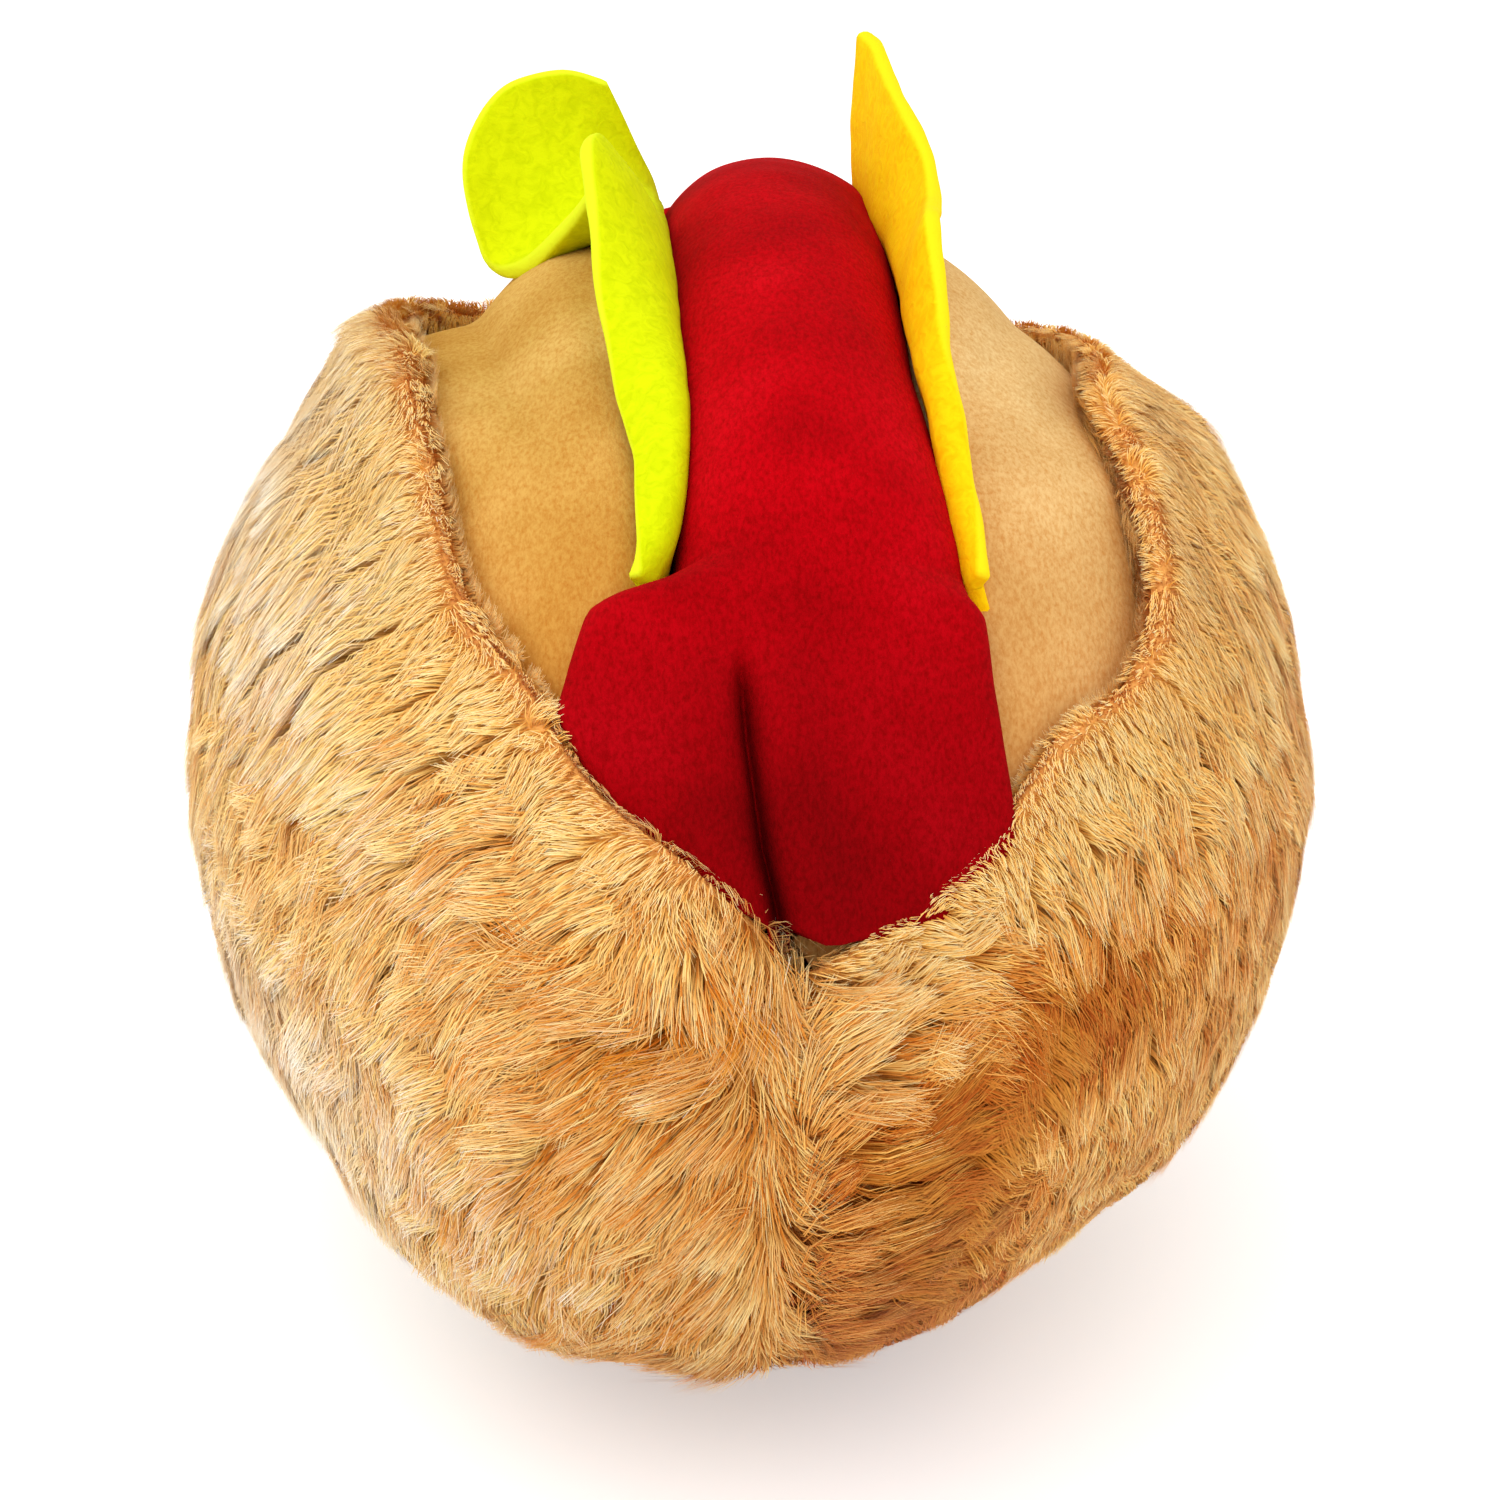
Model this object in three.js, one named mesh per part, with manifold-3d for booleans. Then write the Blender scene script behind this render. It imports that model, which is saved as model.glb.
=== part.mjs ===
// Plush hot dog: a squeaky dog toy, 190 mm long.
// A faux-fur bun in two halves holds fibre filling and a squeaker. Two tan velour faces line its
// mouth, a red velour sausage lies between them, and two felt leaves stand in the grooves.
// Millimetres, X to the right, Y along the sausage with the near end at -Y, Z up from the floor.

import * as THREE from 'three';
import { mergeVertices } from 'three/addons/utils/BufferGeometryUtils.js';
import Module from 'manifold-3d';

const wasm = await Module();
wasm.setup();

// Bun
const bunWidth = 140;
const bunLength = 190;
const bunHeight = 140;
const footDepth = 0.5;
const shoulderPower = 2.2;
const bellyPower = 2.3;
const coverDepth = 11;
const bunRings = 14;
const bunSides = 28;

// Mouth of the bun, seen from above, a little right of the middle except at its two points
const mouthWidth = 88;
const mouthSetback = 2.5;
const mouthShift = 4.5;
const mouthPointedness = 0.62;
const tipClearance = 0.85;
const mouthSteps = 22;

// Tan faces
const faceDepth = 8;
const troughWall = 6;

// Sausage
const sausageWidth = 31;
const sausageDepth = 31;
const sausageCrown = 2;
const sausageRoundness = 2.3;
const velourWall = 2.5;
const flareWidth = 54;
const flareThickness = 19;
const flareSink = 3.5;
const tipThickness = 9;
const tipCap = 1.5;
const creaseDepth = 5;
const stuffingSlotLength = 34;
const stuffingSlotWidth = 7;
const sausageSides = 16;
const middleSteps = 6;
const flareSteps = 2;
const pointSteps = 5;
const flareStartAngle = THREE.MathUtils.degToRad(40);
const flareFullAngle = THREE.MathUtils.degToRad(48);
const thinStartAngle = THREE.MathUtils.degToRad(30);
const sausageEndAngle = THREE.MathUtils.degToRad(75);

// Felt leaves
const feltThickness = 2.2;
const foldDrop = 7;
const rootDepth = 9;
const rootRise = 1;
const rootSlope = 0.55;
const rootEndAngle = THREE.MathUtils.degToRad(39);
const rootStations = 18;
const leafHalfLength = 56;
const leafHeight = 20;
const leafReach = 20;
const leafStations = 22;
const leafRows = 4;

// Squeaker
const squeakerHeight = 40;
const bulbRadius = 22;
const bulbWaist = 18.5;
const bulbHeight = 28;
const bulbFolds = 3;
const bulbWall = 1.1;
const neckRadius = 7.2;
const neckHeight = 7;
const plugFlangeRadius = 8.4;
const plugFlangeHeight = 2;
const plugSeatDepth = 6;
const outletRadius = 1.8;
const outletLength = 1.5;
const plugWall = 1.5;
const reedLength = 10;
const reedWidth = 3.2;
const reedThickness = 0.3;
const holderOverhang = 5;
const grooveWidth = 2;
const grooveDepth = 1.6;
const squeakerSides = 18;

// Clearances
const gap = 0.3;
const overrun = 5;
const weldDistance = 0.0001;

// Worked-out sizes
const halfWidth = bunWidth / 2;
const halfLength = bunLength / 2;
const halfHeight = (bunHeight + footDepth) / 2;
const bunCentre = halfHeight - footDepth;
const foldHeight = bunHeight - foldDrop;
const foldOffset = sausageWidth / 2 + gap + feltThickness / 2;
const rootTop = foldHeight - feltThickness / 2 - gap;
const mouthLength = bunLength - 2 * mouthSetback;

// Free edge of each leaf, row by row from the near end. A row holds the place of its root along
// the fold, the place of its edge along the fold, how far the edge leans out, how high it stands
// and how high the felt rises before it leans. The first two are shares of leafHalfLength, the
// third of leafReach and the last two of leafHeight.
const lettuceEdgeShares = [
  [-0.76, -0.77, 0.0, 0.09, 0.05],
  [-0.55, -0.58, 0.14, 0.5, 0.3],
  [-0.28, -0.32, 0.28, 0.84, 0.5],
  [-0.04, -0.05, 0.34, 0.96, 0.55],
  [0.14, 0.14, 0.28, 0.78, 0.45],
  [0.28, 0.28, 0.26, 0.56, 0.4],
  [0.44, 0.47, 0.42, 0.62, 0.6],
  [0.6, 0.66, 0.76, 0.6, 0.8],
  [0.74, 0.81, 1.04, 0.28, 0.85],
  [0.85, 0.91, 0.9, -0.12, 0.7],
  [0.93, 0.96, 0.42, -0.05, 0.35],
];
const cheeseEdgeShares = [
  [-0.76, -0.77, 0.04, 0.09, 0.05],
  [-0.55, -0.57, 0.1, 0.42, 0.2],
  [-0.36, -0.37, 0.14, 0.68, 0.35],
  [-0.24, -0.24, 0.14, 0.78, 0.4],
  [-0.08, -0.07, 0.1, 0.6, 0.3],
  [0.16, 0.17, 0.0, 0.42, 0.2],
  [0.4, 0.43, -0.14, 0.56, 0.3],
  [0.62, 0.66, -0.28, 0.82, 0.45],
  [0.77, 0.82, -0.34, 0.94, 0.5],
  [0.86, 0.88, -0.34, 0.92, 0.5],
];

// Colours
const furColour = 0xdfae62;
const tanColour = 0xdfb066;
const redColour = 0xa8061a;
const limeColour = 0xe6f000;
const cheeseColour = 0xfed014;
const fibreColour = 0xf4f2ec;
const bulbColour = 0xe9edf0;
const plugColour = 0xf5f5f0;
const reedColour = 0xc9ccd0;

function cloth(colour) {
  return new THREE.MeshStandardMaterial({ color: colour, roughness: 0.95, metalness: 0 });
}

function plastic(colour) {
  return new THREE.MeshStandardMaterial({ color: colour, roughness: 0.45, metalness: 0 });
}

function metal(colour) {
  return new THREE.MeshStandardMaterial({ color: colour, roughness: 0.35, metalness: 0.9 });
}

// Solids from closed geometry, and back

function toSolid(geometry) {
  const bare = geometry.clone();
  bare.deleteAttribute('normal');
  bare.deleteAttribute('uv');
  const welded = mergeVertices(bare, weldDistance);
  return new wasm.Manifold(new wasm.Mesh({
    numProp: 3,
    vertProperties: new Float32Array(welded.attributes.position.array),
    triVerts: new Uint32Array(welded.index.array),
  }));
}

function toGeometry(solid) {
  const mesh = solid.getMesh();
  const geometry = new THREE.BufferGeometry();
  geometry.setAttribute('position', new THREE.BufferAttribute(mesh.vertProperties, 3));
  geometry.setIndex(new THREE.BufferAttribute(mesh.triVerts, 1));
  geometry.computeVertexNormals();
  return geometry;
}

// A closed skin over rings of points. The rings follow one another along +Y and turn from +X to
// +Z. An end with a point closes as a fan, and an end without one is filled flat.
function skin(rings, startPoint, endPoint) {
  const sides = rings[0].length;
  const points = rings.flat();
  const index = [];
  for (let ring = 0; ring + 1 < rings.length; ring++) {
    for (let side = 0; side < sides; side++) {
      const next = (side + 1) % sides;
      const a = ring * sides + side;
      const b = ring * sides + next;
      index.push(a, a + sides, b);
      index.push(b, a + sides, b + sides);
    }
  }
  const closeEnd = (first, point, turned) => {
    const faces = [];
    if (point) {
      points.push(point);
      for (let side = 0; side < sides; side++) {
        faces.push([points.length - 1, first + side, first + (side + 1) % sides]);
      }
    } else {
      const outline = points.slice(first, first + sides).map((p) => new THREE.Vector2(p.x, p.z));
      for (const face of THREE.ShapeUtils.triangulateShape(outline, [])) {
        faces.push(face.map((corner) => first + corner));
      }
    }
    for (const [a, b, c] of faces) {
      index.push(...(turned ? [a, c, b] : [a, b, c]));
    }
  };
  closeEnd(0, startPoint, false);
  closeEnd((rings.length - 1) * sides, endPoint, true);
  const geometry = new THREE.BufferGeometry().setFromPoints(points);
  geometry.setIndex(index);
  return geometry;
}

function box(low, high) {
  const size = high.clone().sub(low);
  const middle = high.clone().add(low).multiplyScalar(0.5);
  return toSolid(new THREE.BoxGeometry(size.x, size.y, size.z).translate(middle.x, middle.y, middle.z));
}

// Everything on one side of the plane at x
function sideOf(x, side) {
  const reach = bunLength + overrun;
  const near = new THREE.Vector3(x, -reach, -reach);
  const far = new THREE.Vector3(x + side * reach, reach, 2 * reach);
  return box(near.clone().min(far), near.clone().max(far));
}

// Bun body

// How far the bun swells beyond an ellipsoid in a direction: its shoulders and belly are squarer
function swell(across, up) {
  const power = up > 0 ? shoulderPower : bellyPower;
  return Math.pow(Math.pow(across, power) + Math.pow(Math.abs(up), power), -1 / power);
}

function bunPoint(direction, depth) {
  const k = swell(Math.hypot(direction.x, direction.y), direction.z);
  return new THREE.Vector3(
    k * direction.x * (halfWidth - depth),
    k * direction.y * (halfLength - depth),
    bunCentre + k * direction.z * (halfHeight - depth),
  );
}

function bunBody(depth) {
  const rings = [];
  for (let ring = 1; ring < bunRings; ring++) {
    const along = Math.PI * ring / bunRings;
    const points = [];
    for (let side = 0; side < bunSides; side++) {
      const around = 2 * Math.PI * side / bunSides;
      const direction = new THREE.Vector3(
        Math.sin(along) * Math.cos(around),
        -Math.cos(along),
        Math.sin(along) * Math.sin(around),
      );
      points.push(bunPoint(direction, depth));
    }
    rings.push(points);
  }
  const nearPole = bunPoint(new THREE.Vector3(0, -1, 0), depth);
  const farPole = bunPoint(new THREE.Vector3(0, 1, 0), depth);
  return toSolid(skin(rings, nearPole, farPole));
}

// The point at a depth below the bun's skin, on the arch that runs over the bun from end to end
function archPoint(x, angle, depth) {
  const k = swell(Math.abs(Math.sin(angle)), Math.cos(angle));
  return new THREE.Vector3(
    x,
    k * Math.sin(angle) * (halfLength - depth),
    bunCentre + k * Math.cos(angle) * (halfHeight - depth),
  );
}

// Mouth: a pointed boat shape, cut straight down

function mouthHalfWidth(y, inset) {
  const share = Math.min(1, Math.abs(y) / (mouthLength / 2 - inset));
  return (mouthWidth / 2 - inset) * Math.pow(1 - share * share, mouthPointedness);
}

// The mouth's middle line is straight beside the roots of the felt leaves and then bends to x = 0
const straightReach = archPoint(0, rootEndAngle, faceDepth - rootRise).y;
const mouthFloor = archPoint(0, sausageEndAngle, flareSink + tipThickness).z - tipClearance;

function mouthCentre(y) {
  const drift = THREE.MathUtils.smoothstep(Math.abs(y), straightReach, mouthLength / 2);
  return mouthShift * (1 - drift);
}

function mouthPrism(inset) {
  const reach = mouthLength / 2 - inset;
  const outline = [];
  for (const side of [1, -1]) {
    for (let step = 0; step < mouthSteps; step++) {
      const y = -side * reach * Math.cos(Math.PI * step / mouthSteps);
      outline.push(new THREE.Vector2(mouthCentre(y) + side * mouthHalfWidth(y, inset), y));
    }
  }
  const floor = mouthFloor + inset;
  const tall = bunHeight + overrun - floor;
  const prism = new THREE.ExtrudeGeometry(new THREE.Shape(outline), { depth: tall, bevelEnabled: false });
  return toSolid(prism.translate(0, 0, floor));
}

// Sausage: a fat arch whose ends thin, flare to the width of the mouth and come to a point.
// grow makes the same body larger all round, or smaller where it is negative. A larger body, which
// is the room that other pieces leave for the sausage, has no crease.

function sausageRing(angle, grow) {
  const turn = Math.abs(angle);
  const flare = THREE.MathUtils.smoothstep(turn, flareStartAngle, flareFullAngle);
  const thin = THREE.MathUtils.smoothstep(turn, thinStartAngle, flareFullAngle);
  const point = THREE.MathUtils.smoothstep(turn, flareFullAngle, sausageEndAngle);
  const sink = THREE.MathUtils.lerp(-sausageCrown, flareSink, thin);
  const flared = THREE.MathUtils.lerp(sausageDepth, flareThickness, thin);
  const thick = THREE.MathUtils.lerp(flared, tipThickness, point);
  const wide = THREE.MathUtils.lerp(sausageWidth, flareWidth, flare);
  const top = archPoint(0, Math.min(turn, sausageEndAngle), sink);
  const room = mouthHalfWidth(top.y, gap) - gap;
  const reach = Math.min(wide / 2, Math.max(room, weldDistance)) + grow;
  const half = thick / 2 + grow;
  const crease = grow > 0 ? 0 : creaseDepth * flare;
  const centre = mouthCentre(top.y);
  const points = [];
  for (let side = 0; side < sausageSides; side++) {
    const around = 2 * Math.PI * side / sausageSides;
    const across = Math.sign(Math.cos(around)) * Math.pow(Math.abs(Math.cos(around)), 2 / sausageRoundness);
    const up = Math.sign(Math.sin(around)) * Math.pow(Math.abs(Math.sin(around)), 2 / sausageRoundness);
    const onCrease = up > 0 && Math.abs(across) * sausageSides < 1;
    const depth = sink + thick / 2 - half * up + (onCrease ? crease : 0);
    points.push(archPoint(centre + reach * across, angle, depth));
  }
  return points;
}

// Angles of the rings from the middle to one end: along the tube, through the flare, to the point
function sausageAngles(end) {
  const stretches = [
    [0, flareStartAngle, middleSteps],
    [flareStartAngle, flareFullAngle, flareSteps],
    [flareFullAngle, end, pointSteps],
  ];
  const angles = [];
  for (const [from, to, steps] of stretches) {
    for (let step = 1; step <= steps; step++) {
      angles.push(THREE.MathUtils.lerp(from, to, step / steps));
    }
  }
  return angles;
}

function sausageBody(grow) {
  const end = sausageEndAngle + grow / halfLength;
  const half = sausageAngles(end);
  const near = half.map((angle) => -angle).reverse();
  const rings = [...near, 0, ...half].map((angle) => sausageRing(angle, grow));
  const capAngle = end + tipCap / halfLength;
  const capDepth = flareSink + tipThickness / 2;
  const tipX = mouthCentre(archPoint(0, sausageEndAngle, flareSink).y);
  const nearTip = archPoint(tipX, -capAngle, capDepth);
  const farTip = archPoint(tipX, capAngle, capDepth);
  return toSolid(skin(rings, nearTip, farTip));
}

// Felt root: an upright strip along the groove, level at the fold, tapering off at both ends

function rootStrip(foldX, grow) {
  const rings = [];
  const low = faceDepth + rootDepth + grow;
  const end = rootEndAngle + grow / halfLength;
  const reach = feltThickness / 2 + grow;
  for (let station = 0; station <= rootStations; station++) {
    const angle = end * (2 * station / rootStations - 1);
    const bottom = archPoint(foldX, angle, low);
    const taper = rootSlope * halfLength * (rootEndAngle - Math.abs(angle));
    const face = archPoint(foldX, angle, faceDepth - rootRise - Math.max(0, taper));
    const level = (rootTop - bunCentre) / (face.z - bunCentre);
    const share = Math.min(1, level);
    const height = bunCentre + share * (face.z - bunCentre) + grow;
    const topY = share * face.y;
    rings.push([
      new THREE.Vector3(foldX + reach, bottom.y, bottom.z),
      new THREE.Vector3(foldX + reach, topY, height),
      new THREE.Vector3(foldX - reach, topY, height),
      new THREE.Vector3(foldX - reach, bottom.y, bottom.z),
    ]);
  }
  return toSolid(skin(rings));
}

// The slot for a root strip, open towards the sausage
function rootSlot(foldX, side) {
  return rootStrip(foldX, gap).add(rootStrip(foldX - side * feltThickness, gap));
}

// Felt leaf: a sheet of even thickness that rises from a round-edged fold and leans to its edge

function leafSurface(foldX, side, edgeShares) {
  const roots = [];
  const crowns = [];
  const edges = [];
  for (const [root, edge, out, up, crown] of edgeShares) {
    const middle = (root + edge) / 2;
    roots.push(new THREE.Vector3(foldX, root * leafHalfLength, foldHeight));
    crowns.push(new THREE.Vector3(foldX, middle * leafHalfLength, foldHeight + crown * leafHeight));
    const edgeX = foldX + side * out * leafReach;
    edges.push(new THREE.Vector3(edgeX, edge * leafHalfLength, foldHeight + up * leafHeight));
  }
  const curves = [roots, crowns, edges].map((points) => new THREE.CatmullRomCurve3(points, false, 'catmullrom'));
  return (along, rise) => {
    const [root, crown, edge] = curves.map((curve) => curve.getPoint(THREE.MathUtils.clamp(along, 0, 1)));
    return new THREE.QuadraticBezierCurve3(root, crown, edge).getPoint(rise);
  };
}

function leafNormal(surface, along, rise) {
  const step = 0.01;
  const ahead = surface(along + step, rise).sub(surface(along - step, rise));
  const above = surface(along, Math.min(1, rise + step)).sub(surface(along, Math.max(0, rise - step)));
  return ahead.cross(above).normalize();
}

function leafBody(foldX, side, edgeShares) {
  const surface = leafSurface(foldX, side, edgeShares);
  const reach = feltThickness / 2;
  const rings = [];
  for (let station = 0; station <= leafStations; station++) {
    const along = station / leafStations;
    const front = [];
    const back = [];
    for (let row = 0; row <= leafRows; row++) {
      const rise = row / leafRows;
      const level = new THREE.Vector3(1, 0, 0);
      const normal = leafNormal(surface, along, rise).lerp(level, Math.max(0, 1 - 2 * rise)).normalize();
      const middle = surface(along, rise);
      front.push(middle.clone().addScaledVector(normal, reach));
      back.unshift(middle.clone().addScaledVector(normal, -reach));
    }
    const fold = [];
    for (const turn of [Math.PI / 4, Math.PI / 2, 3 * Math.PI / 4]) {
      const middle = surface(along, 0);
      middle.x -= reach * Math.cos(turn);
      middle.z -= reach * Math.sin(turn);
      fold.push(middle);
    }
    rings.push([...front, ...back, ...fold]);
  }
  return toSolid(skin(rings));
}

// Round parts of the squeaker: a profile of radii and heights turned about the upright axis

function turned(profile) {
  const points = profile.map(([radius, height]) => new THREE.Vector2(radius, height));
  return toSolid(new THREE.LatheGeometry(points, squeakerSides).rotateX(Math.PI / 2));
}

function bulbProfile() {
  const outer = [[0, 0]];
  const inner = [[0, bulbWall]];
  const fold = bulbHeight / bulbFolds;
  for (let count = 0; count < bulbFolds; count++) {
    const low = count * fold;
    const lift = count === 0 ? bulbWall : 0;
    outer.push([bulbWaist, low], [bulbRadius, low + fold / 2]);
    inner.push([bulbWaist - bulbWall, low + lift], [bulbRadius - bulbWall, low + fold / 2]);
  }
  outer.push([bulbWaist, bulbHeight], [neckRadius, bulbHeight], [neckRadius, bulbHeight + neckHeight]);
  const roof = bulbHeight - bulbWall;
  const bore = neckRadius - bulbWall;
  inner.push([bulbWaist - bulbWall, roof], [bore, roof], [bore, bulbHeight + neckHeight]);
  return [...outer, ...inner.reverse()];
}

const plugBase = bulbHeight + neckHeight + gap;
const plugRadius = neckRadius - bulbWall - gap;
const plugBore = plugRadius - plugWall;

function plugProfile() {
  const shoulder = plugBase + plugFlangeHeight - outletLength;
  return [
    [plugBore, plugBase - plugSeatDepth],
    [plugRadius, plugBase - plugSeatDepth],
    [plugRadius, plugBase],
    [plugFlangeRadius, plugBase],
    [plugFlangeRadius, plugBase + plugFlangeHeight],
    [outletRadius, plugBase + plugFlangeHeight],
    [outletRadius, shoulder],
    [plugBore, shoulder],
    [plugBore, plugBase - plugSeatDepth],
  ];
}

function pocketProfile() {
  const room = bulbRadius + 2 * gap;
  const throat = plugFlangeRadius + 2 * gap;
  const roof = bulbHeight + gap;
  const top = plugBase + plugFlangeHeight + gap;
  return [[0, -gap], [room, -gap], [room, roof], [throat, roof], [throat, top], [0, top]];
}

// Half-round holder with a groove down its flat side, hung in the plug's bore
function reedHolder() {
  const radius = plugBore - gap;
  const outline = new THREE.Shape();
  outline.moveTo(-radius, 0);
  outline.absarc(0, 0, radius, Math.PI, 2 * Math.PI, false);
  outline.lineTo(grooveWidth / 2, 0);
  outline.lineTo(grooveWidth / 2, -grooveDepth);
  outline.lineTo(-grooveWidth / 2, -grooveDepth);
  outline.lineTo(-grooveWidth / 2, 0);
  const top = plugBase + plugFlangeHeight - outletLength - gap;
  const low = plugBase - plugSeatDepth - holderOverhang;
  const body = new THREE.ExtrudeGeometry(outline, { depth: top - low, bevelEnabled: false, curveSegments: 8 });
  return toSolid(body.translate(0, 0, low));
}

function reedBlade() {
  const top = plugBase + plugFlangeHeight - outletLength - gap;
  const low = new THREE.Vector3(-reedWidth / 2, gap, top - reedLength);
  const high = new THREE.Vector3(reedWidth / 2, gap + reedThickness, top);
  return box(low, high);
}

// The toy

const toy = new THREE.Group();
toy.name = 'plush_hot_dog';

function addPiece(parent, name, solid, material) {
  const mesh = new THREE.Mesh(toGeometry(solid), material);
  mesh.name = name;
  parent.add(mesh);
}

const reach = bunLength + overrun;
const aboveFloor = box(new THREE.Vector3(-reach, -reach, 0), new THREE.Vector3(reach, reach, reach));
const mouth = mouthPrism(0);
const mouthRoom = mouthPrism(gap);
const innerCore = bunBody(coverDepth + gap);
const leftFold = mouthShift - foldOffset;
const rightFold = mouthShift + foldOffset;
const sausageRoom = sausageBody(gap);

// Fur cover: two shells, sewn together under the belly and at both ends
const furShell = bunBody(0).intersect(aboveFloor).subtract(bunBody(coverDepth)).subtract(mouth);
addPiece(toy, 'fur_panel_left', furShell.intersect(sideOf(-gap / 2, -1)), cloth(furColour));
addPiece(toy, 'fur_panel_right', furShell.intersect(sideOf(gap / 2, 1)), cloth(furColour));

// Tan faces: over the top from the fur to the groove, then down and under the sausage
const faceBody = bunBody(faceDepth).intersect(mouthRoom);
const faceArch = faceBody.subtract(bunBody(coverDepth));
const trough = sausageBody(gap + troughWall).intersect(innerCore.add(faceBody));
const slots = rootSlot(leftFold, -1).add(rootSlot(rightFold, 1));
const faces = trough.add(faceArch).subtract(sausageRoom).subtract(slots);
addPiece(toy, 'inner_face_left', faces.intersect(sideOf(mouthShift - gap / 2, -1)), cloth(tanColour));
addPiece(toy, 'inner_face_right', faces.intersect(sideOf(mouthShift + gap / 2, 1)), cloth(tanColour));

// Sausage: a velour skin, open at its stuffing slot underneath, round its filling
const slotTop = bunHeight + sausageCrown - sausageDepth / 2;
const stuffingSlot = box(
  new THREE.Vector3(mouthShift - stuffingSlotWidth / 2, -stuffingSlotLength / 2, 0),
  new THREE.Vector3(mouthShift + stuffingSlotWidth / 2, stuffingSlotLength / 2, slotTop),
);
const sausageSkin = sausageBody(0).subtract(sausageBody(-velourWall)).subtract(stuffingSlot);
addPiece(toy, 'sausage_cover', sausageSkin, cloth(redColour));
addPiece(toy, 'sausage_filling', sausageBody(-velourWall - gap), cloth(fibreColour));

// Bun filling: one half a side, round the pocket that the squeaker lies in
const pocket = turned(pocketProfile()).translate([0, 0, squeakerHeight]);
const filling = innerCore.subtract(sausageBody(gap + troughWall + gap)).subtract(pocket);
addPiece(toy, 'bun_filling_left', filling.intersect(sideOf(-gap / 2, -1)), cloth(fibreColour));
addPiece(toy, 'bun_filling_right', filling.intersect(sideOf(gap / 2, 1)), cloth(fibreColour));

// Felt leaves: a sewn root strip and a leaf that folds on it, each side
addPiece(toy, 'lettuce_seam_strip', rootStrip(leftFold, 0), cloth(limeColour));
addPiece(toy, 'lettuce_leaf', leafBody(leftFold, -1, lettuceEdgeShares), cloth(limeColour));
addPiece(toy, 'cheese_seam_strip', rootStrip(rightFold, 0), cloth(cheeseColour));
addPiece(toy, 'cheese_leaf', leafBody(rightFold, 1, cheeseEdgeShares), cloth(cheeseColour));

// Squeaker: a bellows bulb, the plug in its neck, and the reed on its holder
const squeaker = new THREE.Group();
squeaker.name = 'squeaker';
squeaker.position.z = squeakerHeight;
addPiece(squeaker, 'squeaker_bulb', turned(bulbProfile()), plastic(bulbColour));
addPiece(squeaker, 'squeaker_plug', turned(plugProfile()), plastic(plugColour));
addPiece(squeaker, 'reed_holder', reedHolder(), plastic(plugColour));
addPiece(squeaker, 'squeaker_reed', reedBlade(), metal(reedColour));
toy.add(squeaker);

export default toy;
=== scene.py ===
import functools
import math

import bmesh
import bpy
import numpy as np
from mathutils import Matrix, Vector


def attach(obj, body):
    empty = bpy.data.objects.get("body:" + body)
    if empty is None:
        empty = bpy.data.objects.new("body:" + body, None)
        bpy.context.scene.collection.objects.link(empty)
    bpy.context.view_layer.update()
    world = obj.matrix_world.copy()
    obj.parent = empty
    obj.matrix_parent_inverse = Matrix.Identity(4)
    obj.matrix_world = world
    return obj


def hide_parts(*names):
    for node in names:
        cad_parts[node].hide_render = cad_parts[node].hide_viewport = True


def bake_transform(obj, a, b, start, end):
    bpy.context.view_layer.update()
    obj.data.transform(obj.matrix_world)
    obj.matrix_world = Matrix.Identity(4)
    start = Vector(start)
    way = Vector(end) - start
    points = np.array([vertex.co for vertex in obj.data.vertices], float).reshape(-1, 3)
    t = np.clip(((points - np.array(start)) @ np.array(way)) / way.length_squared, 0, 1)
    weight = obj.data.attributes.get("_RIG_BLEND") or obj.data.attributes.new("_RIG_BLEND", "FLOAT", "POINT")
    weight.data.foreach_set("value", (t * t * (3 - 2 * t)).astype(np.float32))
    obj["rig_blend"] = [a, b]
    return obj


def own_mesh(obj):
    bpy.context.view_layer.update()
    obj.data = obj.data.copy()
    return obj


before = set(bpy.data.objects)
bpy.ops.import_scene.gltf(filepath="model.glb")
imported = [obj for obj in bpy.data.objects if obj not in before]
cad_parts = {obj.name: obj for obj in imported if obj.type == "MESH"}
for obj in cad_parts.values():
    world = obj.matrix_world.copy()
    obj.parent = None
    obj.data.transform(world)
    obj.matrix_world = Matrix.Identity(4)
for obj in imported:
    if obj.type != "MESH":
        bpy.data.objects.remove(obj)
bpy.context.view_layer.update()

bl_info = {
    "name": "Plush Hot Dog",
    "version": (1, 0, 0),
    "blender": (4, 5, 0),
    "location": "View3D > Sidebar > Hot Dog",
    "description": "Builds a stuffed squeaky hot dog with a faux-fur bun",
    "category": "Object",
}

MM = 0.001

# The bun and its mouth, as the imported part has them, in millimetres
HALF_WIDTH, HALF_LENGTH, HALF_HEIGHT = 70.0, 95.0, 70.25
BUN_CENTRE = 69.75
SHOULDER_POWER, BELLY_POWER = 2.2, 2.3
COVER_DEPTH = 11.0
BACK_DEPTH = COVER_DEPTH - 0.1
FACE_DEPTH = 8.0
GROOVE_EDGE = 17.0
MOUTH_SHIFT, MOUTH_STRAIGHT = 4.5, 57.1
GAP = 0.3

# The sausage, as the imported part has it
SAUSAGE_HALF, SAUSAGE_SINK = 14.9, 0.0
FLARE_THICKNESS, FLARE_SINK = 19.0, 3.5
TIP_THICKNESS = 9.0
ROUNDNESS = 2.3
THIN_START, FLARE_START, FLARE_FULL, SAUSAGE_END = 30.0, 40.0, 48.0, 76.0
ARCH_END = math.radians(SAUSAGE_END)
SAUSAGE_COLUMNS = 184

# The felt leaves
FOLD_HEIGHT, FOLD_HALF = 133.0, 2.5
ROOT_OFFSET = 16.9
FELT_HALF = 1.1


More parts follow.
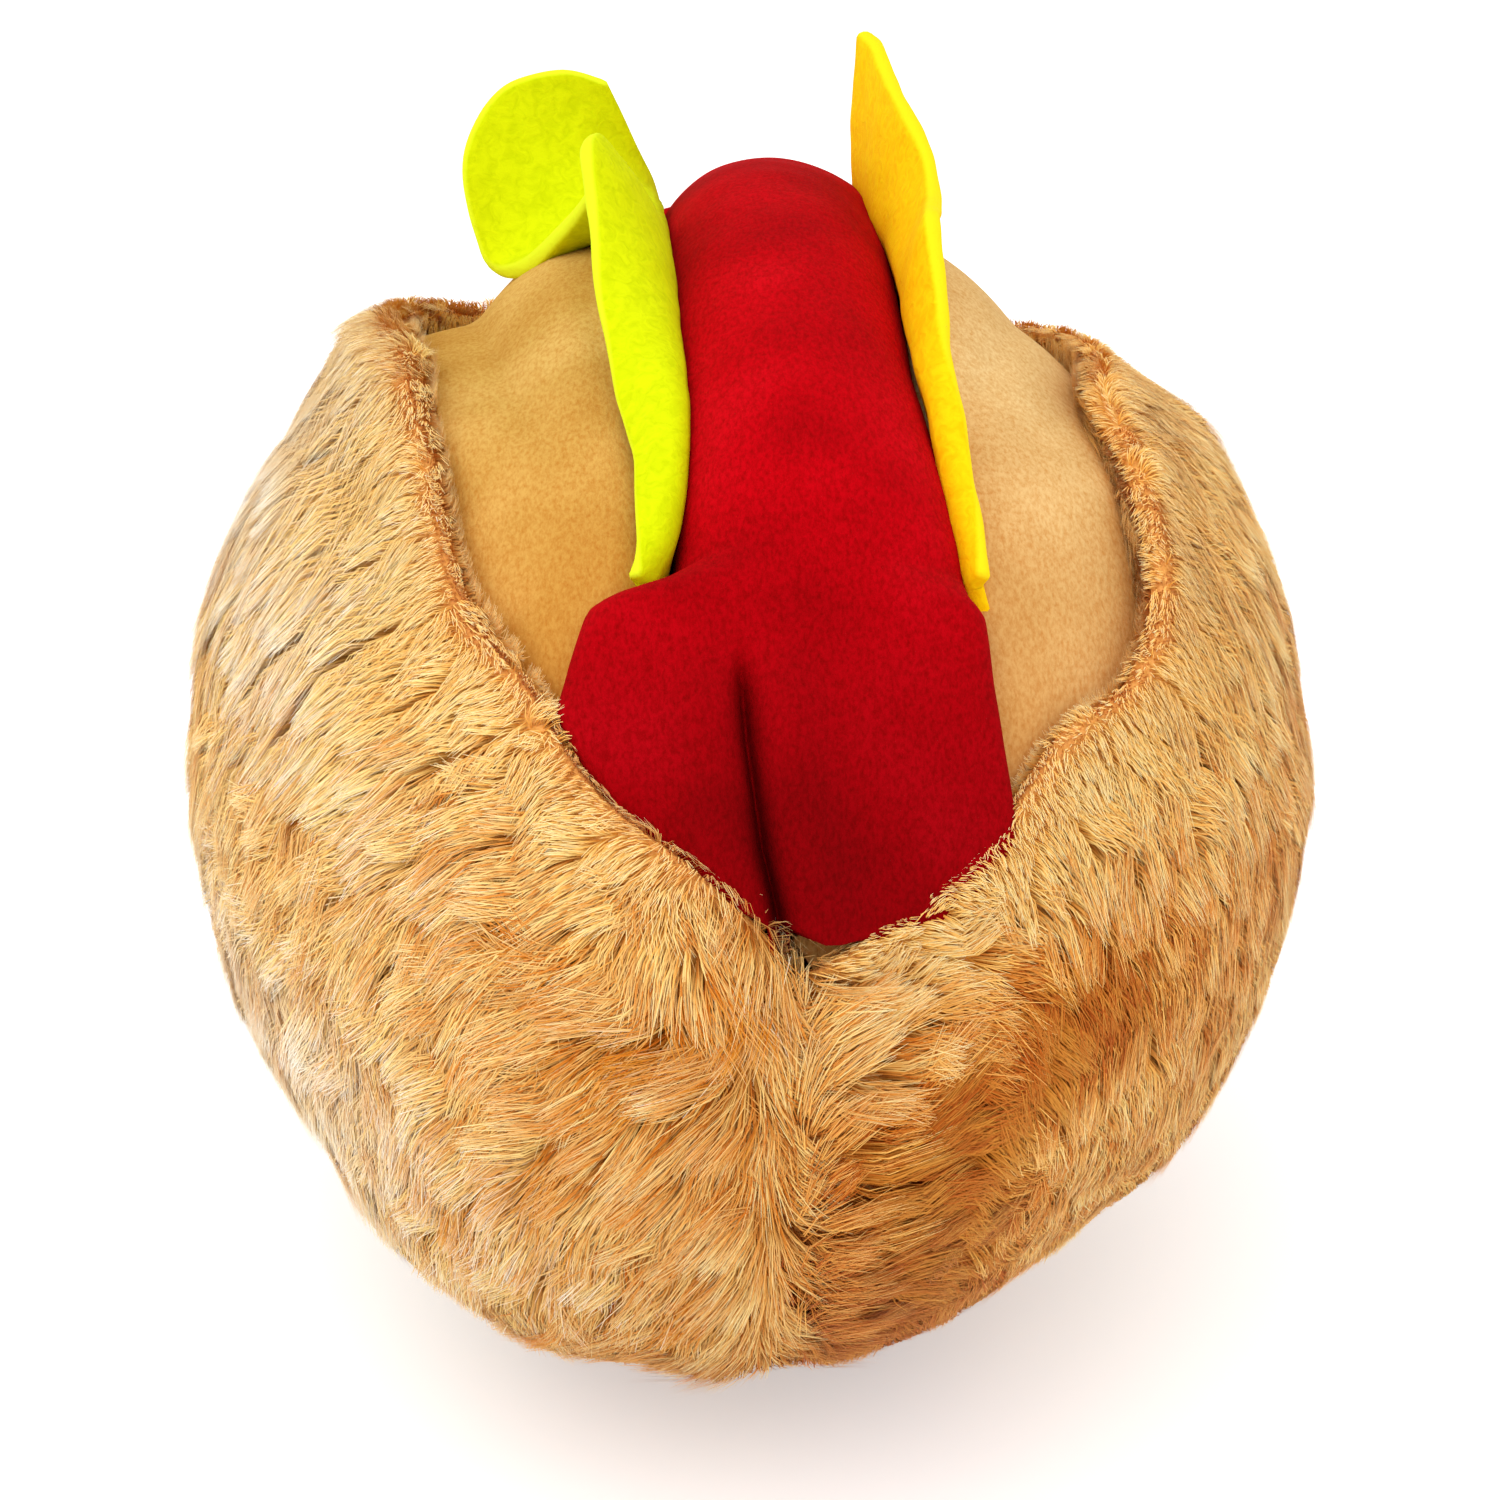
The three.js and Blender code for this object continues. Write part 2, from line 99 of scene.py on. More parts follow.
def linear(colour):
    """Linear RGB of an sRGB hex colour."""
    parts = [int(colour[i : i + 2], 16) / 255 for i in (1, 3, 5)]
    return tuple(c / 12.92 if c <= 0.04045 else ((c + 0.055) / 1.055) ** 2.4 for c in parts)


def smooth(low, high, value):
    share = np.clip((value - low) / (high - low), 0, 1)
    return share * share * (3 - 2 * share)


def mix(first, second, share):
    return first + (second - first) * share


def xyz(x, y, z):
    """Points or ways from their three parts."""
    return np.stack(np.broadcast_arrays(x, y, z), -1).astype(float)


def ripple(points, size, seed):
    """Soft lumps about as wide as size, from -1 to 1, at points in millimetres."""
    rng = np.random.default_rng(seed)
    total = 0
    for _ in range(7):
        way = rng.normal(size=3)
        way *= 2 * math.pi / size * rng.uniform(0.6, 1.3) / np.linalg.norm(way)
        total = total + np.sin(points @ way + rng.uniform(0, 2 * math.pi))
    return total / 4


# Shapes of the bun


def swell(across, up):
    power = np.where(up > 0, SHOULDER_POWER, BELLY_POWER)
    return (across**power + np.abs(up) ** power) ** (-1 / power)


def bun_point(along, around, side, depth):
    """Points at a depth in the bun. along runs from the near end to the far end, around from the
    bottom over one side to the top."""
    x = side * np.sin(along) * np.sin(around)
    y = -np.cos(along)
    z = -np.sin(along) * np.cos(around)
    k = swell(np.hypot(x, y), z)
    wide, long, tall = HALF_WIDTH - depth, HALF_LENGTH - depth, HALF_HEIGHT - depth
    return xyz(k * x * wide, k * y * long, BUN_CENTRE + k * z * tall)


def bun_top(x, y, depth):
    """Height of the bun's upper half at a depth, over a place on the floor."""
    out = np.hypot(x / (HALF_WIDTH - depth), y / (HALF_LENGTH - depth)) ** SHOULDER_POWER
    return BUN_CENTRE + (HALF_HEIGHT - depth) * np.clip(1 - out, 0, 1) ** (1 / SHOULDER_POWER)


def arch_point(x, angle, depth):
    """Points at a depth below the arch that runs over the bun from end to end."""
    k = swell(np.abs(np.sin(angle)), np.cos(angle))
    y = k * np.sin(angle) * (HALF_LENGTH - depth)
    z = BUN_CENTRE + k * np.cos(angle) * (HALF_HEIGHT - depth)
    return xyz(x, y, z)


# Where the edge of each half of the fur lies beside the mouth, from the near tip to the far one:
# pairs of y and distance from the seam
RIMS = {
    -1: (
        (-88.7, -88, -86.4, -84.8, -83.3, -81.4, -79.6, -77, -72.8, -65.6, -59.8, -53, -45.7)
        + (-37, -20, -4, 12, 28, 45, 58, 70, 79, 86, 89.6),
        (0.15, 1.0, 4.0, 7.5, 11.0, 14.3, 17.0, 20.0, 23.3, 27.1, 30.4, 33.6, 35.4, 36.6, 37.6)
        + (38.6, 41.4, 42.4, 39.6, 34, 26, 17, 7, 0.15),
    ),
    1: (
        (-88.7, -88.6, -88.2, -87.2, -84.3, -80.8, -76.9, -69, -59, -49.7, -41, -33, -23, -11.7, -2)
        + (12, 28, 45, 58, 70, 79, 86, 89.6),
        (0.15, 4.5, 7.0, 10.5, 18.5, 24, 27.7, 33.6, 39.3, 43.1, 44.5, 44.1, 43.2, 42.2, 42.6)
        + (44.6, 45, 42, 36, 27.6, 18, 7.6, 0.15),
    ),
}


def rim_reach(side, y):
    """Distance of the fur's edge from the seam, over a place along the toy."""
    places, reaches = RIMS[side]
    shifts = (-3, -1.5, 0, 1.5, 3)
    return sum(np.interp(y + shift * (np.abs(y) < 84), places, reaches) for shift in shifts) / 5


def fur_edge(side, y):
    """The same for the fur itself, which goes on a little way under the sausage's near tip."""
    tuck = (2.6 if side > 0 else 0.6) * smooth(-56, -68, y)
    return np.maximum(rim_reach(side, y) - tuck, 0.15)


def rim_angles(along, side, depth):
    """How far round the bun each half reaches before it meets the mouth."""
    around = np.linspace(math.pi / 2, math.pi, 800)
    points = bun_point(along[:, None], around[None, :], side, depth)
    inside = side * points[..., 0] >= fur_edge(side, points[..., 1])
    last = inside.shape[1] - 1 - np.argmax(inside[:, ::-1], 1)
    return around[last]


# Half widths of the sausage's flat end to either side, at degrees along the arch
FLARES = {
    -1: (
        (39.0, 40.4, 41.6, 42.9, 46.6, 50.3, 54.0, 60.0),
        (14.9, 18.6, 22.4, 24.6, 25.9, 26.8, 27.4, 30.0),
    ),
    1: (
        (14.0, 22.0, 29.0, 36.0, 40.0, 42.2, 43.7, 48.0, 52.7, 57.5, 61.5, 66.0),
        (14.9, 16.2, 17.5, 18.4, 18.7, 19.3, 21.0, 22.4, 24.3, 26.6, 28.4, 31.0),
    ),
}


def section(angle):
    """Depth and thickness of the sausage at an angle along its arch, its half widths to the left
    and the right, its centre and how far it has flattened."""
    turn = np.degrees(np.abs(angle))
    flare = smooth(FLARE_START, FLARE_FULL, turn)
    thin = smooth(THIN_START, FLARE_FULL, turn)
    point = smooth(FLARE_FULL, SAUSAGE_END, turn)
    sink = mix(SAUSAGE_SINK, FLARE_SINK, thin)
    thick = mix(mix(2 * SAUSAGE_HALF, FLARE_THICKNESS, thin), TIP_THICKNESS, point)
    y = arch_point(0, np.clip(angle, -ARCH_END, ARCH_END), sink)[..., 1]
    centre = MOUTH_SHIFT * (1 - smooth(MOUTH_STRAIGHT, 89.0, np.abs(y)))
    spread = np.where(angle > 0, turn - 3, turn)
    # The fur's rim holds the flat end in. Near the tip the velour lies a little deeper in it
    held = y + 1.1 * smooth(-70, -82, y) * smooth(-88.8, -87.4, y)
    reaches = [
        np.minimum(
            np.interp(spread, *FLARES[side]),
            np.maximum(rim_reach(side, held) - side * centre + 1.1, 0.8),
        )
        for side in (-1, 1)
    ]
    return sink, thick, reaches, centre, flare


# Meshes


def new_object(name, data):
    """An object of the scene, at the origin."""
    made = bpy.data.objects.new(name, data)
    bpy.context.scene.collection.objects.link(made)
    return made


def grid_faces(rows, columns, closed=False):
    last = columns if closed else columns - 1
    starts = [(r * columns, c) for r in range(rows - 1) for c in range(last)]
    turned = [(r + c, r + (c + 1) % columns) for r, c in starts]
    return [(a, b, b + columns, a + columns) for a, b in turned]


def new_piece(name, points, faces, material, merge=0.02, lit_edge=None):
    """A smooth closed piece from points in millimetres, with its normals turned outwards. Its last argument
    says how much each point belongs to a cut edge, whose paler felt colour is a painted highlight."""
    mesh = bpy.data.meshes.new(name)
    mesh.from_pydata((np.asarray(points).reshape(-1, 3) * MM).tolist(), [], faces)
    if lit_edge is not None:
        mesh.attributes.new("lit_cut_edge", "FLOAT", "POINT").data.foreach_set("value", lit_edge)
    shape = bmesh.new()
    shape.from_mesh(mesh)
    bmesh.ops.remove_doubles(shape, verts=shape.verts, dist=merge * MM)
    bmesh.ops.dissolve_degenerate(shape, edges=shape.edges, dist=1e-6)
    bmesh.ops.recalc_face_normals(shape, faces=shape.faces)
    shape.to_mesh(mesh)
    shape.free()
    mesh.shade_smooth()
    mesh.materials.append(material)
    return new_object(name, mesh)


def loft(name, rings, material, ends="fan", lit_edge=None):
    """A closed skin over rings of points. Its ends close as a fan, in pairs across a sheet, or
    not at all where the rings have shrunk to a line."""
    rows, columns = rings.shape[:2]
    points = rings.reshape(-1, 3)
    faces = grid_faces(rows, columns, closed=True)
    for first in (0, (rows - 1) * columns):
        if ends == "fan":
            points = np.vstack([points, points[first : first + columns].mean(0)])
            centre = len(points) - 1
            faces += [(centre, first + c, first + (c + 1) % columns) for c in range(columns)]
        elif ends == "pairs":
            faces += [
                (first + c, first + c + 1, first + columns - 2 - c, first + columns - 1 - c)
                for c in range(columns // 2 - 1)
            ]
    return new_piece(name, points, faces, material, lit_edge=lit_edge)


def settle(piece, node=None):
    """Puts a piece in the toy's own body, and hides the node that it replaces, if one is given."""
    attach(piece, "toy")
    if node:
        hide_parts(node)


def feed(node, inputs):
    """Gives a node's inputs, by name or number, their values or links."""
    for socket, value in dict(inputs).items():
        if isinstance(value, bpy.types.NodeSocket):
            node.id_data.links.new(value, node.inputs[socket])
        else:
            node.inputs[socket].default_value = value


def add_node(tree, kind, settings=(), inputs=(), output=0):
    """Adds a node with its settings and its inputs, as values or links, and returns an output."""
    node = tree.nodes.new(kind)
    for name, value in dict(settings).items():
        setattr(node, name, value)
    feed(node, inputs)
    return node.outputs[output] if node.outputs else None


def add_maths(tree, operation, *values, clamp=False):
    """Adds a math node on values or links."""
    settings = {"operation": operation, "use_clamp": clamp}
    return add_node(tree, "ShaderNodeMath", settings, dict(enumerate(values)))


def add_vectors(tree, operation, *values):
    """Adds a vector math node on values or links. SCALE takes its factor second."""
    inputs = dict(enumerate(values))
    if operation == "SCALE":
        inputs["Scale"] = inputs.pop(1)
    output = "Value" if operation == "DOT_PRODUCT" else 0
    return add_node(tree, "ShaderNodeVectorMath", {"operation": operation}, inputs, output)


def add_split(tree, vector):
    """The x, y and z of a vector."""
    return list(add_node(tree, "ShaderNodeSeparateXYZ", (), {0: vector}).node.outputs)


# Geometry Nodes

# The pile's colours can be baked to a map of cells, one for each step of shade and tint
SHADE_CELLS, TINT_CELLS = 16, 4
BAKE_MAP = "OFBake"
KEPT_ATTRIBUTES = {"pile_along", "pile_shade", "pile_tint", "custom_normal", BAKE_MAP}
KEPT_ATTRIBUTES |= {"material_index", "sharp_face", "sharp_edge"}


def new_tree(name, given, made):
    """A geometry tree with named inputs, and its group input's sockets by name. Each input is
    given its default value, or its kind where it has none."""
    tree = bpy.data.node_groups.new(name, "GeometryNodeTree")
    for label, value in given.items():
        kind = value if isinstance(value, str) else {float: "Float", int: "Int"}[type(value)]
        socket = tree.interface.new_socket(label, in_out="INPUT", socket_type="NodeSocket" + kind)
        if kind != value:
            socket.default_value = value
    tree.interface.new_socket(made, in_out="OUTPUT", socket_type="NodeSocketGeometry")
    group = tree.nodes.new("NodeGroupInput")
    return tree, group.outputs


def read(tree, name, kind="FLOAT"):
    """Adds a node that reads a named attribute."""
    kind = {"data_type": kind}
    return add_node(tree, "GeometryNodeInputNamedAttribute", kind, {"Name": name})


def store(tree, geometry, fields):
    """Adds nodes that store named attributes, each given as a name, kind, domain and value."""
    for name, kind, domain, value in fields:
        settings = {"data_type": kind, "domain": domain}
        inputs = {"Geometry": geometry, "Name": name, "Value": value}
        geometry = add_node(tree, "GeometryNodeStoreNamedAttribute", settings, inputs)
    return geometry


def pile_points(tree, given):
    """The strands' roots, with all that each strand needs to know stored on them."""
    maths, vectors = functools.partial(add_maths, tree), functools.partial(add_vectors, tree)

    def scatter(lowest, highest, first, settings=(), output=1, **inputs):
        """A random value for each strand. first is the number of its lower limit's socket."""
        inputs = {first: lowest, first + 1: highest, **inputs}
        return add_node(tree, "FunctionNodeRandomValue", settings, inputs, output)

    share = read(tree, "pile_density")
    density = maths("MULTIPLY", share, given["Strands per Area"])
    inputs = {"Mesh": given["Skin"], "Density": density, "Seed": given["Seed"]}
    points = add_node(tree, "GeometryNodeDistributePointsOnFaces", (), inputs)
    up = points.node.outputs["Normal"]
    here = add_node(tree, "GeometryNodeInputPosition")

    def along_skin(way):
        """A way without the part of it that rises from the skin."""
        rise = vectors("SCALE", up, vectors("DOT_PRODUCT", way, up))
        return vectors("SUBTRACT", way, rise)

    # The cells that the strands gather in: tufts, and finer locks
    cells, colours = [], []
    for size in ("Tuft Size", "Lock Size"):
        inputs = {"Vector": here, "Scale": maths("DIVIDE", 1.0, given[size])}
        cells.append(add_node(tree, "ShaderNodeTexVoronoi", (), inputs, "Position"))
        colours.append(cells[-1].node.outputs["Color"])

    # The way each strand lies: its comb, swayed by slow noise, by a stray amount of its own and
    # by an amount that its tuft shares
    sway = maths("DIVIDE", maths("DIVIDE", 1.0, given["Tuft Size"]), 2.6)
    inputs = {"Vector": here, "Scale": sway, "Detail": 2.0}
    sway = add_node(tree, "ShaderNodeTexNoise", (), inputs, "Color")
    sway = vectors("SCALE", vectors("SUBTRACT", sway, (0.5, 0.5, 0.5)), given["Tangle"])
    lay = vectors("MULTIPLY_ADD", sway, (4, 4, 4), read(tree, "comb", "FLOAT_VECTOR"))
    as_vector = {"data_type": "FLOAT_VECTOR"}
    stray = scatter((-1, -1, -1), (1, 1, 1), 0, as_vector, 0, Seed=given["Seed"])
    lay = vectors("ADD", lay, vectors("SCALE", stray, given["Stray"]))
    clump = vectors("SUBTRACT", colours[0], (0.5, 0.5, 0.5))
    lay = vectors("ADD", lay, vectors("SCALE", clump, given["Clump"]))
    lay = vectors("NORMALIZE", along_skin(lay))

    # Where the strand's tip is drawn to. Short pile is drawn less
    reach = read(tree, "pile_share")
    calm = add_node(tree, "ShaderNodeMapRange", (), {0: reach, 1: 0.15, 2: 0.65, 3: 0.25, 4: 1.0})
    tuft, lock = (
        vectors("SCALE", along_skin(vectors("SUBTRACT", cell, here)), calm) for cell in cells
    )

    # Length and shade, with a part of each shared by a tuft
    tuft_x, tuft_y, _ = add_split(tree, colours[0])
    lock_x = add_split(tree, colours[1])[0]
    own = scatter(0.72, 1.1, 2, Seed=given["Seed"])
    for factor in (own, maths("MULTIPLY_ADD", tuft_x, 0.35, 0.8), given["Length"]):
        reach = maths("MULTIPLY", reach, factor)
    shade = read(tree, "pile_shade")
    for value, amount, middle in ((tuft_y, 0.5, -0.25), (lock_x, 0.8, -0.4)):
        shade = maths("ADD", shade, maths("MULTIPLY_ADD", value, amount, middle))
    index = add_node(tree, "GeometryNodeInputIndex")
    spread = scatter(-0.16, 0.16, 2, ID=index, Seed=77)
    shade = maths("ADD", shade, spread, clamp=True)
    tint = maths("ADD", read(tree, "pile_tint"), spread, clamp=True)
    # Both go in steps, so that each strand has one cell of the map that its colours can be baked to
    shade, tint = (
        maths("FLOOR", maths("MULTIPLY", value, count - 0.01))
        for value, count in ((shade, SHADE_CELLS), (tint, TINT_CELLS))
    )
    lean = maths("MULTIPLY_ADD", tuft_x, 0.22, given["Lean"])
    lean = maths("MULTIPLY", lean, maths("MULTIPLY_ADD", calm, 0.6, 0.4))
    wide = maths("POWER", share, -0.5)
    ways = {"root": here, "up": up, "lay": lay, "tuft": tuft, "lock": lock}
    fields = [(name, "FLOAT_VECTOR", "POINT", value) for name, value in ways.items()]
    numbers = {"reach": reach, "shade_step": shade, "tint_step": tint, "lean": lean, "wide": wide}
    fields += [(name, "FLOAT", "POINT", value) for name, value in numbers.items()]
    return store(tree, points, fields)


def pile_tree():
    """Strands of pile on a skin: each leans the way its comb says, and gathers into tufts."""
    inputs = {
        "Skin": "Geometry",
        "Strands per Area": 2.0e6,
        "Length": 0.012,
        "Width": 0.0002,
        "Lean": 0.3,
        "Droop": 0.22,
        "Tuft Size": 0.007,
        "Lock Size": 0.0013,
        "Gather": 0.8,
        "Tangle": 0.3,
        "Stray": 0.16,
        "Clump": 0.9,
        "Floor": 0.0004,
        "Crispness": 0.4,
        "Rows": 3,
        "Seed": 1,
        "Material": "Material",
    }
    tree, given = new_tree("pile", inputs, "Pile")
    maths, vectors = functools.partial(add_maths, tree), functools.partial(add_vectors, tree)

    # One straight flat strand, a unit long, that every point gets
    inputs = {"Size X": 2.0, "Size Y": 1.0, "Vertices X": 2, "Vertices Y": given["Rows"]}
    strand = add_node(tree, "GeometryNodeMeshGrid", (), inputs)
    position = add_node(tree, "GeometryNodeInputPosition")
    strand = store(tree, strand, [("place", "FLOAT_VECTOR", "POINT", position)])
    inputs = {"Points": pile_points(tree, given), "Instance": strand}
    geometry = add_node(tree, "GeometryNodeInstanceOnPoints", (), inputs)
    geometry = add_node(tree, "GeometryNodeRealizeInstances", (), {"Geometry": geometry})

    # Bend each strand from its root: up and over, towards its lay, its tuft and its lock
    names = ("root", "up", "lay", "tuft", "lock", "place")
    got = {name: read(tree, name, "FLOAT_VECTOR") for name in names}
    length = read(tree, "reach")
    across, along, _ = add_split(tree, got["place"])
    along = maths("ADD", along, 0.5)
    squared = maths("POWER", along, 2.0)
    turn = maths("MULTIPLY_ADD", along, 0.35, read(tree, "lean"))
    lift = vectors("SCALE", got["up"], maths("SUBTRACT", 1.2, turn))
    way = vectors("ADD", lift, vectors("SCALE", got["lay"], turn))
    way = vectors("NORMALIZE", way)
    path = vectors("SCALE", way, maths("MULTIPLY", along, length))
    sag = maths("MULTIPLY", maths("MULTIPLY", squared, length), given["Droop"])
    path = vectors("SUBTRACT", path, vectors("SCALE", got["up"], sag))
    for name, power, amount in (("tuft", 1.5, 0.5), ("lock", 0.8, 1.15)):
        pull = maths("MULTIPLY", maths("POWER", along, power), given["Gather"])
        pull = vectors("SCALE", got[name], maths("MULTIPLY", pull, amount))
        path = vectors("ADD", path, pull)
    path = vectors("ADD", path, got["root"])

    # Its width, which goes down to a fine tip, with its face turned away from the skin
    side = vectors("NORMALIZE", vectors("CROSS_PRODUCT", way, got["up"]))
    full = maths("MULTIPLY_ADD", squared, -0.8, 1.0)
    for factor in (read(tree, "wide"), given["Width"], across):
        full = maths("MULTIPLY", full, factor)
    path = vectors("ADD", path, vectors("SCALE", side, full))
    # Nothing reaches below the floor
    x, y, z = add_split(tree, path)
    inputs = {0: x, 1: y, 2: maths("MAXIMUM", z, given["Floor"])}
    path = add_node(tree, "ShaderNodeCombineXYZ", (), inputs)
    inputs = {"Geometry": geometry, "Position": path}
    geometry = add_node(tree, "GeometryNodeSetPosition", (), inputs)

    # A strand is shaded mostly as the skin under it is, as soft pile is
    own = vectors("SCALE", add_node(tree, "GeometryNodeInputNormal"), given["Crispness"])
    facing = vectors("NORMALIZE", vectors("ADD", got["up"], own))
    settings = {"mode": "FREE", "domain": "POINT"}
    inputs = {"Mesh": geometry, "Custom Normal": facing}
    geometry = add_node(tree, "GeometryNodeSetMeshNormal", settings, inputs)

    # The strand's cell in the map
    shade, tint = read(tree, "shade_step"), read(tree, "tint_step")
    u = maths("ADD", shade, maths("MULTIPLY_ADD", across, 0.3, 0.5))
    v = maths("ADD", tint, maths("MULTIPLY_ADD", along, 0.88, 0.06))
    inputs = {0: maths("DIVIDE", u, SHADE_CELLS), 1: maths("DIVIDE", v, TINT_CELLS)}
    fields = [
        (BAKE_MAP, "FLOAT2", "CORNER", add_node(tree, "ShaderNodeCombineXYZ", (), inputs)),
        ("pile_along", "FLOAT", "POINT", along),
        ("pile_shade", "FLOAT", "POINT", maths("DIVIDE", shade, SHADE_CELLS - 1.0)),
        ("pile_tint", "FLOAT", "POINT", maths("DIVIDE", tint, TINT_CELLS - 1.0)),
    ]
    geometry = store(tree, geometry, fields)
    geometry = add_node(tree, "GeometryNodeSetShadeSmooth", (), {"Geometry": geometry})
    inputs = {"Geometry": geometry, "Material": given["Material"]}
    geometry = add_node(tree, "GeometryNodeSetMaterial", (), inputs)
    add_node(tree, "NodeGroupOutput", (), {0: geometry})
    return tree


def grow(name, source, tree, values):
    """Runs a tree on a source object and returns the plain mesh that it makes, as a piece."""
    modifier = source.modifiers.new(name, "NODES")
    modifier.node_group = tree
    for item in tree.interface.items_tree:
        if item.in_out == "INPUT" and item.name in values:
            modifier[item.identifier] = values[item.name]
    bpy.context.view_layer.update()
    evaluated = source.evaluated_get(bpy.context.evaluated_depsgraph_get())
    mesh = bpy.data.meshes.new_from_object(evaluated)
    mesh.name = name
    bare = source.data
    bpy.data.objects.remove(source)
    bpy.data.meshes.remove(bare)
    for attribute in [a.name for a in mesh.attributes if not a.is_required]:
        if attribute not in KEPT_ATTRIBUTES and not attribute.startswith("."):
            mesh.attributes.remove(mesh.attributes[attribute])
    return new_object(name, mesh)


# Materials


def new_material(name):
    material = bpy.data.materials.new(name)
    material.use_nodes = True
    tree = material.node_tree
    return material, tree, tree.nodes["Principled BSDF"]


def ramp(tree, factor, stops):
    """A colour ramp node through sRGB colours at their places."""
    out = add_node(tree, "ShaderNodeValToRGB", (), {0: factor})
    elements = out.node.color_ramp.elements
    while len(elements) < len(stops):
        elements.new(0.5)
    for element, (place, colour) in zip(elements, stops):
        element.position = place
        element.color = (*linear(colour), 1)
    return out


def add_mix(tree, blend, share, first, second):
    """Adds a node that mixes two colours."""
    settings = {"data_type": "RGBA", "blend_type": blend}
    return add_node(tree, "ShaderNodeMix", settings, {0: share, 6: first, 7: second}, 2)


def add_noise(tree, place, size, **inputs):
    """Adds noise whose grains are about size millimetres wide."""
    inputs = {"Vector": place, "Scale": 1 / (size * MM), **inputs}
    return add_node(tree, "ShaderNodeTexNoise", (), inputs)


def add_bump(tree, strength, depth, height):
    """Adds a bump of a depth in millimetres."""
    inputs = {"Strength": strength, "Distance": depth * MM, "Height": height}
    return add_node(tree, "ShaderNodeBump", (), inputs)


def read_point(tree, name):
    return add_node(tree, "ShaderNodeAttribute", {"attribute_name": name}, (), "Fac")


def object_place(tree):
    return add_node(tree, "ShaderNodeTexCoord", (), (), "Object")


def pile_material():
    """Faux fur: fine acrylic fibres, dull and soft, cream at their tips over golden roots."""
    material, tree, shader = new_material("acrylic_faux_fur")
    along, shade, tint = (read_point(tree, "pile_" + name) for name in ("along", "shade", "tint"))
    dark = ramp(tree, along, [(0, "#a8540e"), (0.4, "#c8741a"), (0.75, "#e29630"), (1, "#eea644")])
    pale = ramp(tree, along, [(0, "#e09c44"), (0.4, "#f6d090"), (0.75, "#ffecc6"), (1, "#fffcf2")])
    # The tint's dye carries painted light and shade too: nearly white where the fields paint light, darker
    # orange where they paint shade.
    dye_and_painted_light = ramp(tree, tint, [(0, "#dca04a"), (0.33, "#ffdc94"), (0.67, "#fff4c6"), (1, "#ffffff")])
    colour = add_mix(tree, "MIX", shade, dark, pale)
    feed(
        shader,
        {
            "Base Color": add_mix(tree, "MULTIPLY", 1.0, colour, dye_and_painted_light),
            "Roughness": 0.7,
            "Specular IOR Level": 0.1,
            "Sheen Weight": 0.2,
            "Sheen Roughness": 0.5,
            "Sheen Tint": (1.0, 0.8, 0.5, 1.0),
        },
    )
    return material


def velour_material(name, colours, fleck, sheen, ends):
    """Velour: a short dense pile, so it is dull, with a soft pale sheen where it turns away. It is painted
    darker towards the near end by the tones in ends (from near to far): painted shade."""
    material, tree, shader = new_material(name)
    place = object_place(tree)
    combed = {"Vector": place, "Scale": (1.0, 0.5, 0.6)}
    combed = add_node(tree, "ShaderNodeMapping", (), combed)
    fine = add_noise(tree, combed, 0.5, Detail=3.0, Roughness=0.7)
    brushed = add_noise(tree, place, 22, Detail=2.0)
    base = ramp(tree, brushed, list(zip((0.3, 0.5, 0.7), colours)))
    flecks = ramp(tree, fine, [(0.3, fleck), (0.62, "#ffffff")])
    colour = add_mix(tree, "MULTIPLY", 1.0, base, flecks)
    # Painted shade: darker towards the near end.
    along = {0: add_split(tree, place)[1], 1: -90 * MM, 2: 90 * MM}
    along = add_node(tree, "ShaderNodeMapRange", (), along)
    feed(
        shader,
        {
            "Base Color": add_mix(tree, "MULTIPLY", 1.0, colour, ramp(tree, along, ends)),
            "Normal": add_bump(tree, 0.5, 0.25, fine),
            "Roughness": 0.95,
            "Specular IOR Level": 0.04,
            "Sheen Weight": sheen,
            "Sheen Roughness": 0.5,
            "Sheen Tint": (*linear(colours[-1]), 1),
        },
    )
    return material


def felt_material(name, colour, shadow, lit_edge):
    """Needled polyester felt: dull, matted fibres with a faint mottle, and a painted highlight, a paler
    colour, along its cut edges.
    """
    material, tree, shader = new_material(name)
    matted = add_noise(tree, object_place(tree), 1.6, Detail=5.0, Distortion=1.2)
    base = ramp(tree, matted, [(0.32, shadow), (0.62, colour)])
    edge = read_point(tree, "lit_cut_edge")
    feed(
        shader,
        {
            "Base Color": add_mix(tree, "MIX", edge, base, (*linear(lit_edge), 1)),
            "Normal": add_bump(tree, 0.6, 0.3, matted),
            "Roughness": 0.95,
            "Specular IOR Level": 0.04,
        },
    )
    return material


def plain_material(name, colour, spots, roughness, metallic=0.0, grain=2.0):
    """A moulded or rolled surface whose colour and gloss vary a little."""
    material, tree, shader = new_material(name)
    cloud = add_noise(tree, object_place(tree), grain, Detail=3.0)
    gloss = {0: cloud, 3: roughness * 0.85, 4: roughness * 1.15}
    feed(
        shader,
        {
            "Base Color": ramp(tree, cloud, [(0.35, spots), (0.65, colour)]),
            "Roughness": add_node(tree, "ShaderNodeMapRange", (), gloss),
            "Metallic": metallic,
        },
    )
    return material


def fibre_material():
    """Polyester fibre fill: white, matted and dull."""
    return plain_material("polyester_fibre_fill", "#f6f4ee", "#dedad0", 0.95, grain=3.0)


def seen_directly(tree):
    """1 where the camera, a mirror or a window looks, and 0 for light that has bounced."""
    path = add_node(tree, "ShaderNodeLightPath", (), (), "Is Camera Ray")
    seen = path
    for ray in ("Is Glossy Ray", "Is Transmission Ray"):
        seen = add_maths(tree, "MAXIMUM", seen, path.node.outputs[ray])
    return seen


# Settings


def real(name, description, default, **kind):
    return bpy.props.FloatProperty(name=name, description=description, default=default, **kind)


